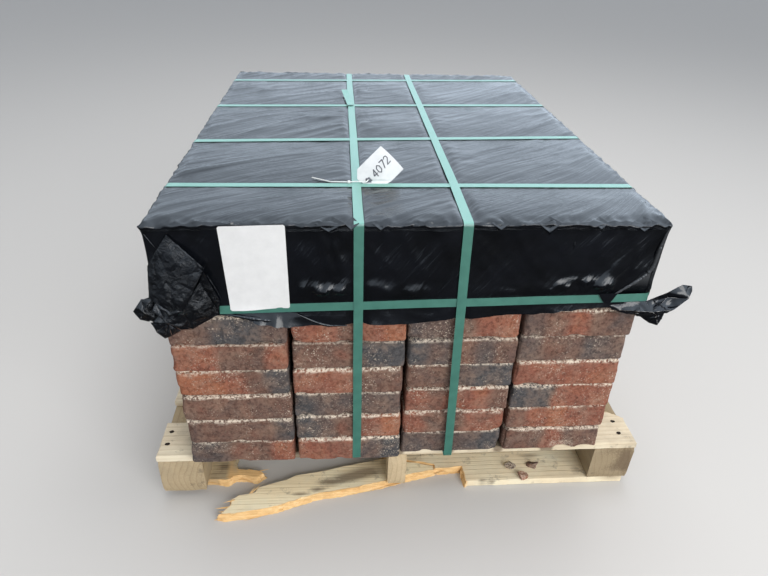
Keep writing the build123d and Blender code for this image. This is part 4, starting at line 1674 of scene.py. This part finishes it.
def tag_card():
    """Points and faces of the card with its hole, its top side first, and the dark ring round the hole."""
    flat = [tag_spot(row, column) for row in range(tag_rows + 1) for column in range(tag_columns + 1)]
    points = [tag_place(*spot, off) for off in (tag_thickness, 0.0) for spot in flat]
    # A dark ring is painted round the hole
    ink_and_ring = [1.0 if math.hypot(*spot) < tag_ring else 0.0 for spot in flat] * 2
    middles = [tag_spot(row + 0.5, column + 0.5) for row in range(tag_rows) for column in range(tag_columns)]
    upper = [face for face, middle in zip(grid_faces(tag_rows, tag_columns), middles)
             if math.hypot(*middle) >= tag_hole]
    below = len(flat)
    lower = [[index + below for index in reversed(face)] for face in upper]
    edges = [edge for face in upper for edge in zip(face, face[1:] + face[:1])]
    known = set(edges)
    rim = [[second, first, first + below, second + below] for first, second in edges
           if (second, first) not in known]
    return points, upper + lower + rim, ink_and_ring


def pen_stroke(first, second, bold):
    """Points and faces of one straight pen stroke that follows the bent card."""
    step = (second - first).normalized() * tag_pen
    side = Vector((-step.y, step.x, 0)) * bold
    points = []
    for number in range(ink_pieces + 1):
        spot = (first - step).lerp(second + step, number / ink_pieces)
        points += [tag_place(end.x, end.y, 0.0008) for end in (spot + side, spot - side)]
    faces = [[corner, corner + 1, corner + 3, corner + 2] for corner in range(0, 2 * ink_pieces, 2)]
    return points, faces


def add_tag(material):
    """The card tag with its hole and a handwritten plain number."""
    points, faces, ink_and_ring = tag_card()
    for number, strokes in enumerate(tag_numbers):
        start = 0.0125 + 0.0108 * number
        line = [Vector((0.0065 - 0.0145 * high - 0.001 * number, start + 0.0080 * wide + 0.0016 * high, 0))
                for wide, high in strokes]
        for first, second in zip(line, line[1:]):
            add_part(points, faces, *pen_stroke(first, second, tag_bold[number]))
    ink_and_ring += [1.0] * (len(points) - len(ink_and_ring))
    piece = mesh_object("tag_card", points, faces, material, smooth=False)
    point_values(piece, "ink_and_ring", ink_and_ring)
    keep_with(piece, "card", "tag")


def add_strap_end(material):
    """The left strap's free end, lying beside it behind the second cross strap."""
    path = [Vector((-0.0975, 0.125, 0.6500)), Vector((-0.1010, 0.160, 0.6510)),
            Vector((-0.1060, 0.200, 0.6530)), Vector((-0.1120, 0.240, 0.6600))]
    up = Vector((0, 0, 1))
    wide = (path[1] - path[0]).cross(up).normalized()
    add_band("strap_end", path, [wide] * len(path), [up] * len(path), material)


def paint_cad(name, material):
    """A CAD solid that stays in sight keeps its shape and gets a material."""
    cad_nodes[name].data.materials.clear()
    cad_nodes[name].data.materials.append(material)


add_camera()
add_floor()
add_world(seen_level=0.80, strength=0.50, sheen=1.82)
add_area_light("overhead", place=(0.5, 0.2, 4.2), target=(0, 0, 0.5), size=(3.0, 3.0), power=118,
               colour=(1.0, 0.99, 0.97), mirrored=False)
add_area_light("front", place=(1.8, -3.8, 2.0), target=(0, -0.4, 0.25), size=(3.0, 2.2), power=132,
               colour=(1.0, 0.98, 0.95), mirrored=True)
bpy.context.scene.view_settings.view_transform = "Standard"

concrete_finish = concrete()
for layer in range(len(layer_names)):
    add_stones(layer, concrete_finish)
paint_cad("paver_core", concrete_finish)
add_film(film_material())
strap_finish = strap_material()
add_long_strap("strap_long_left", "long_strap_left", long_strap_places[0], long_strap_feet[0], strap_finish)
add_long_strap("strap_long_right", "long_strap_right", long_strap_places[1], long_strap_feet[1], strap_finish)
for number in range(1, 5):
    add_cross_strap(number, strap_finish)
add_girth(strap_finish)
add_strap_end(strap_finish)
add_label(paper_material())
add_tag(card_material())
paint_cad("tag_tie", tie_material())
add_pallet()
add_crumbs(concrete_finish)
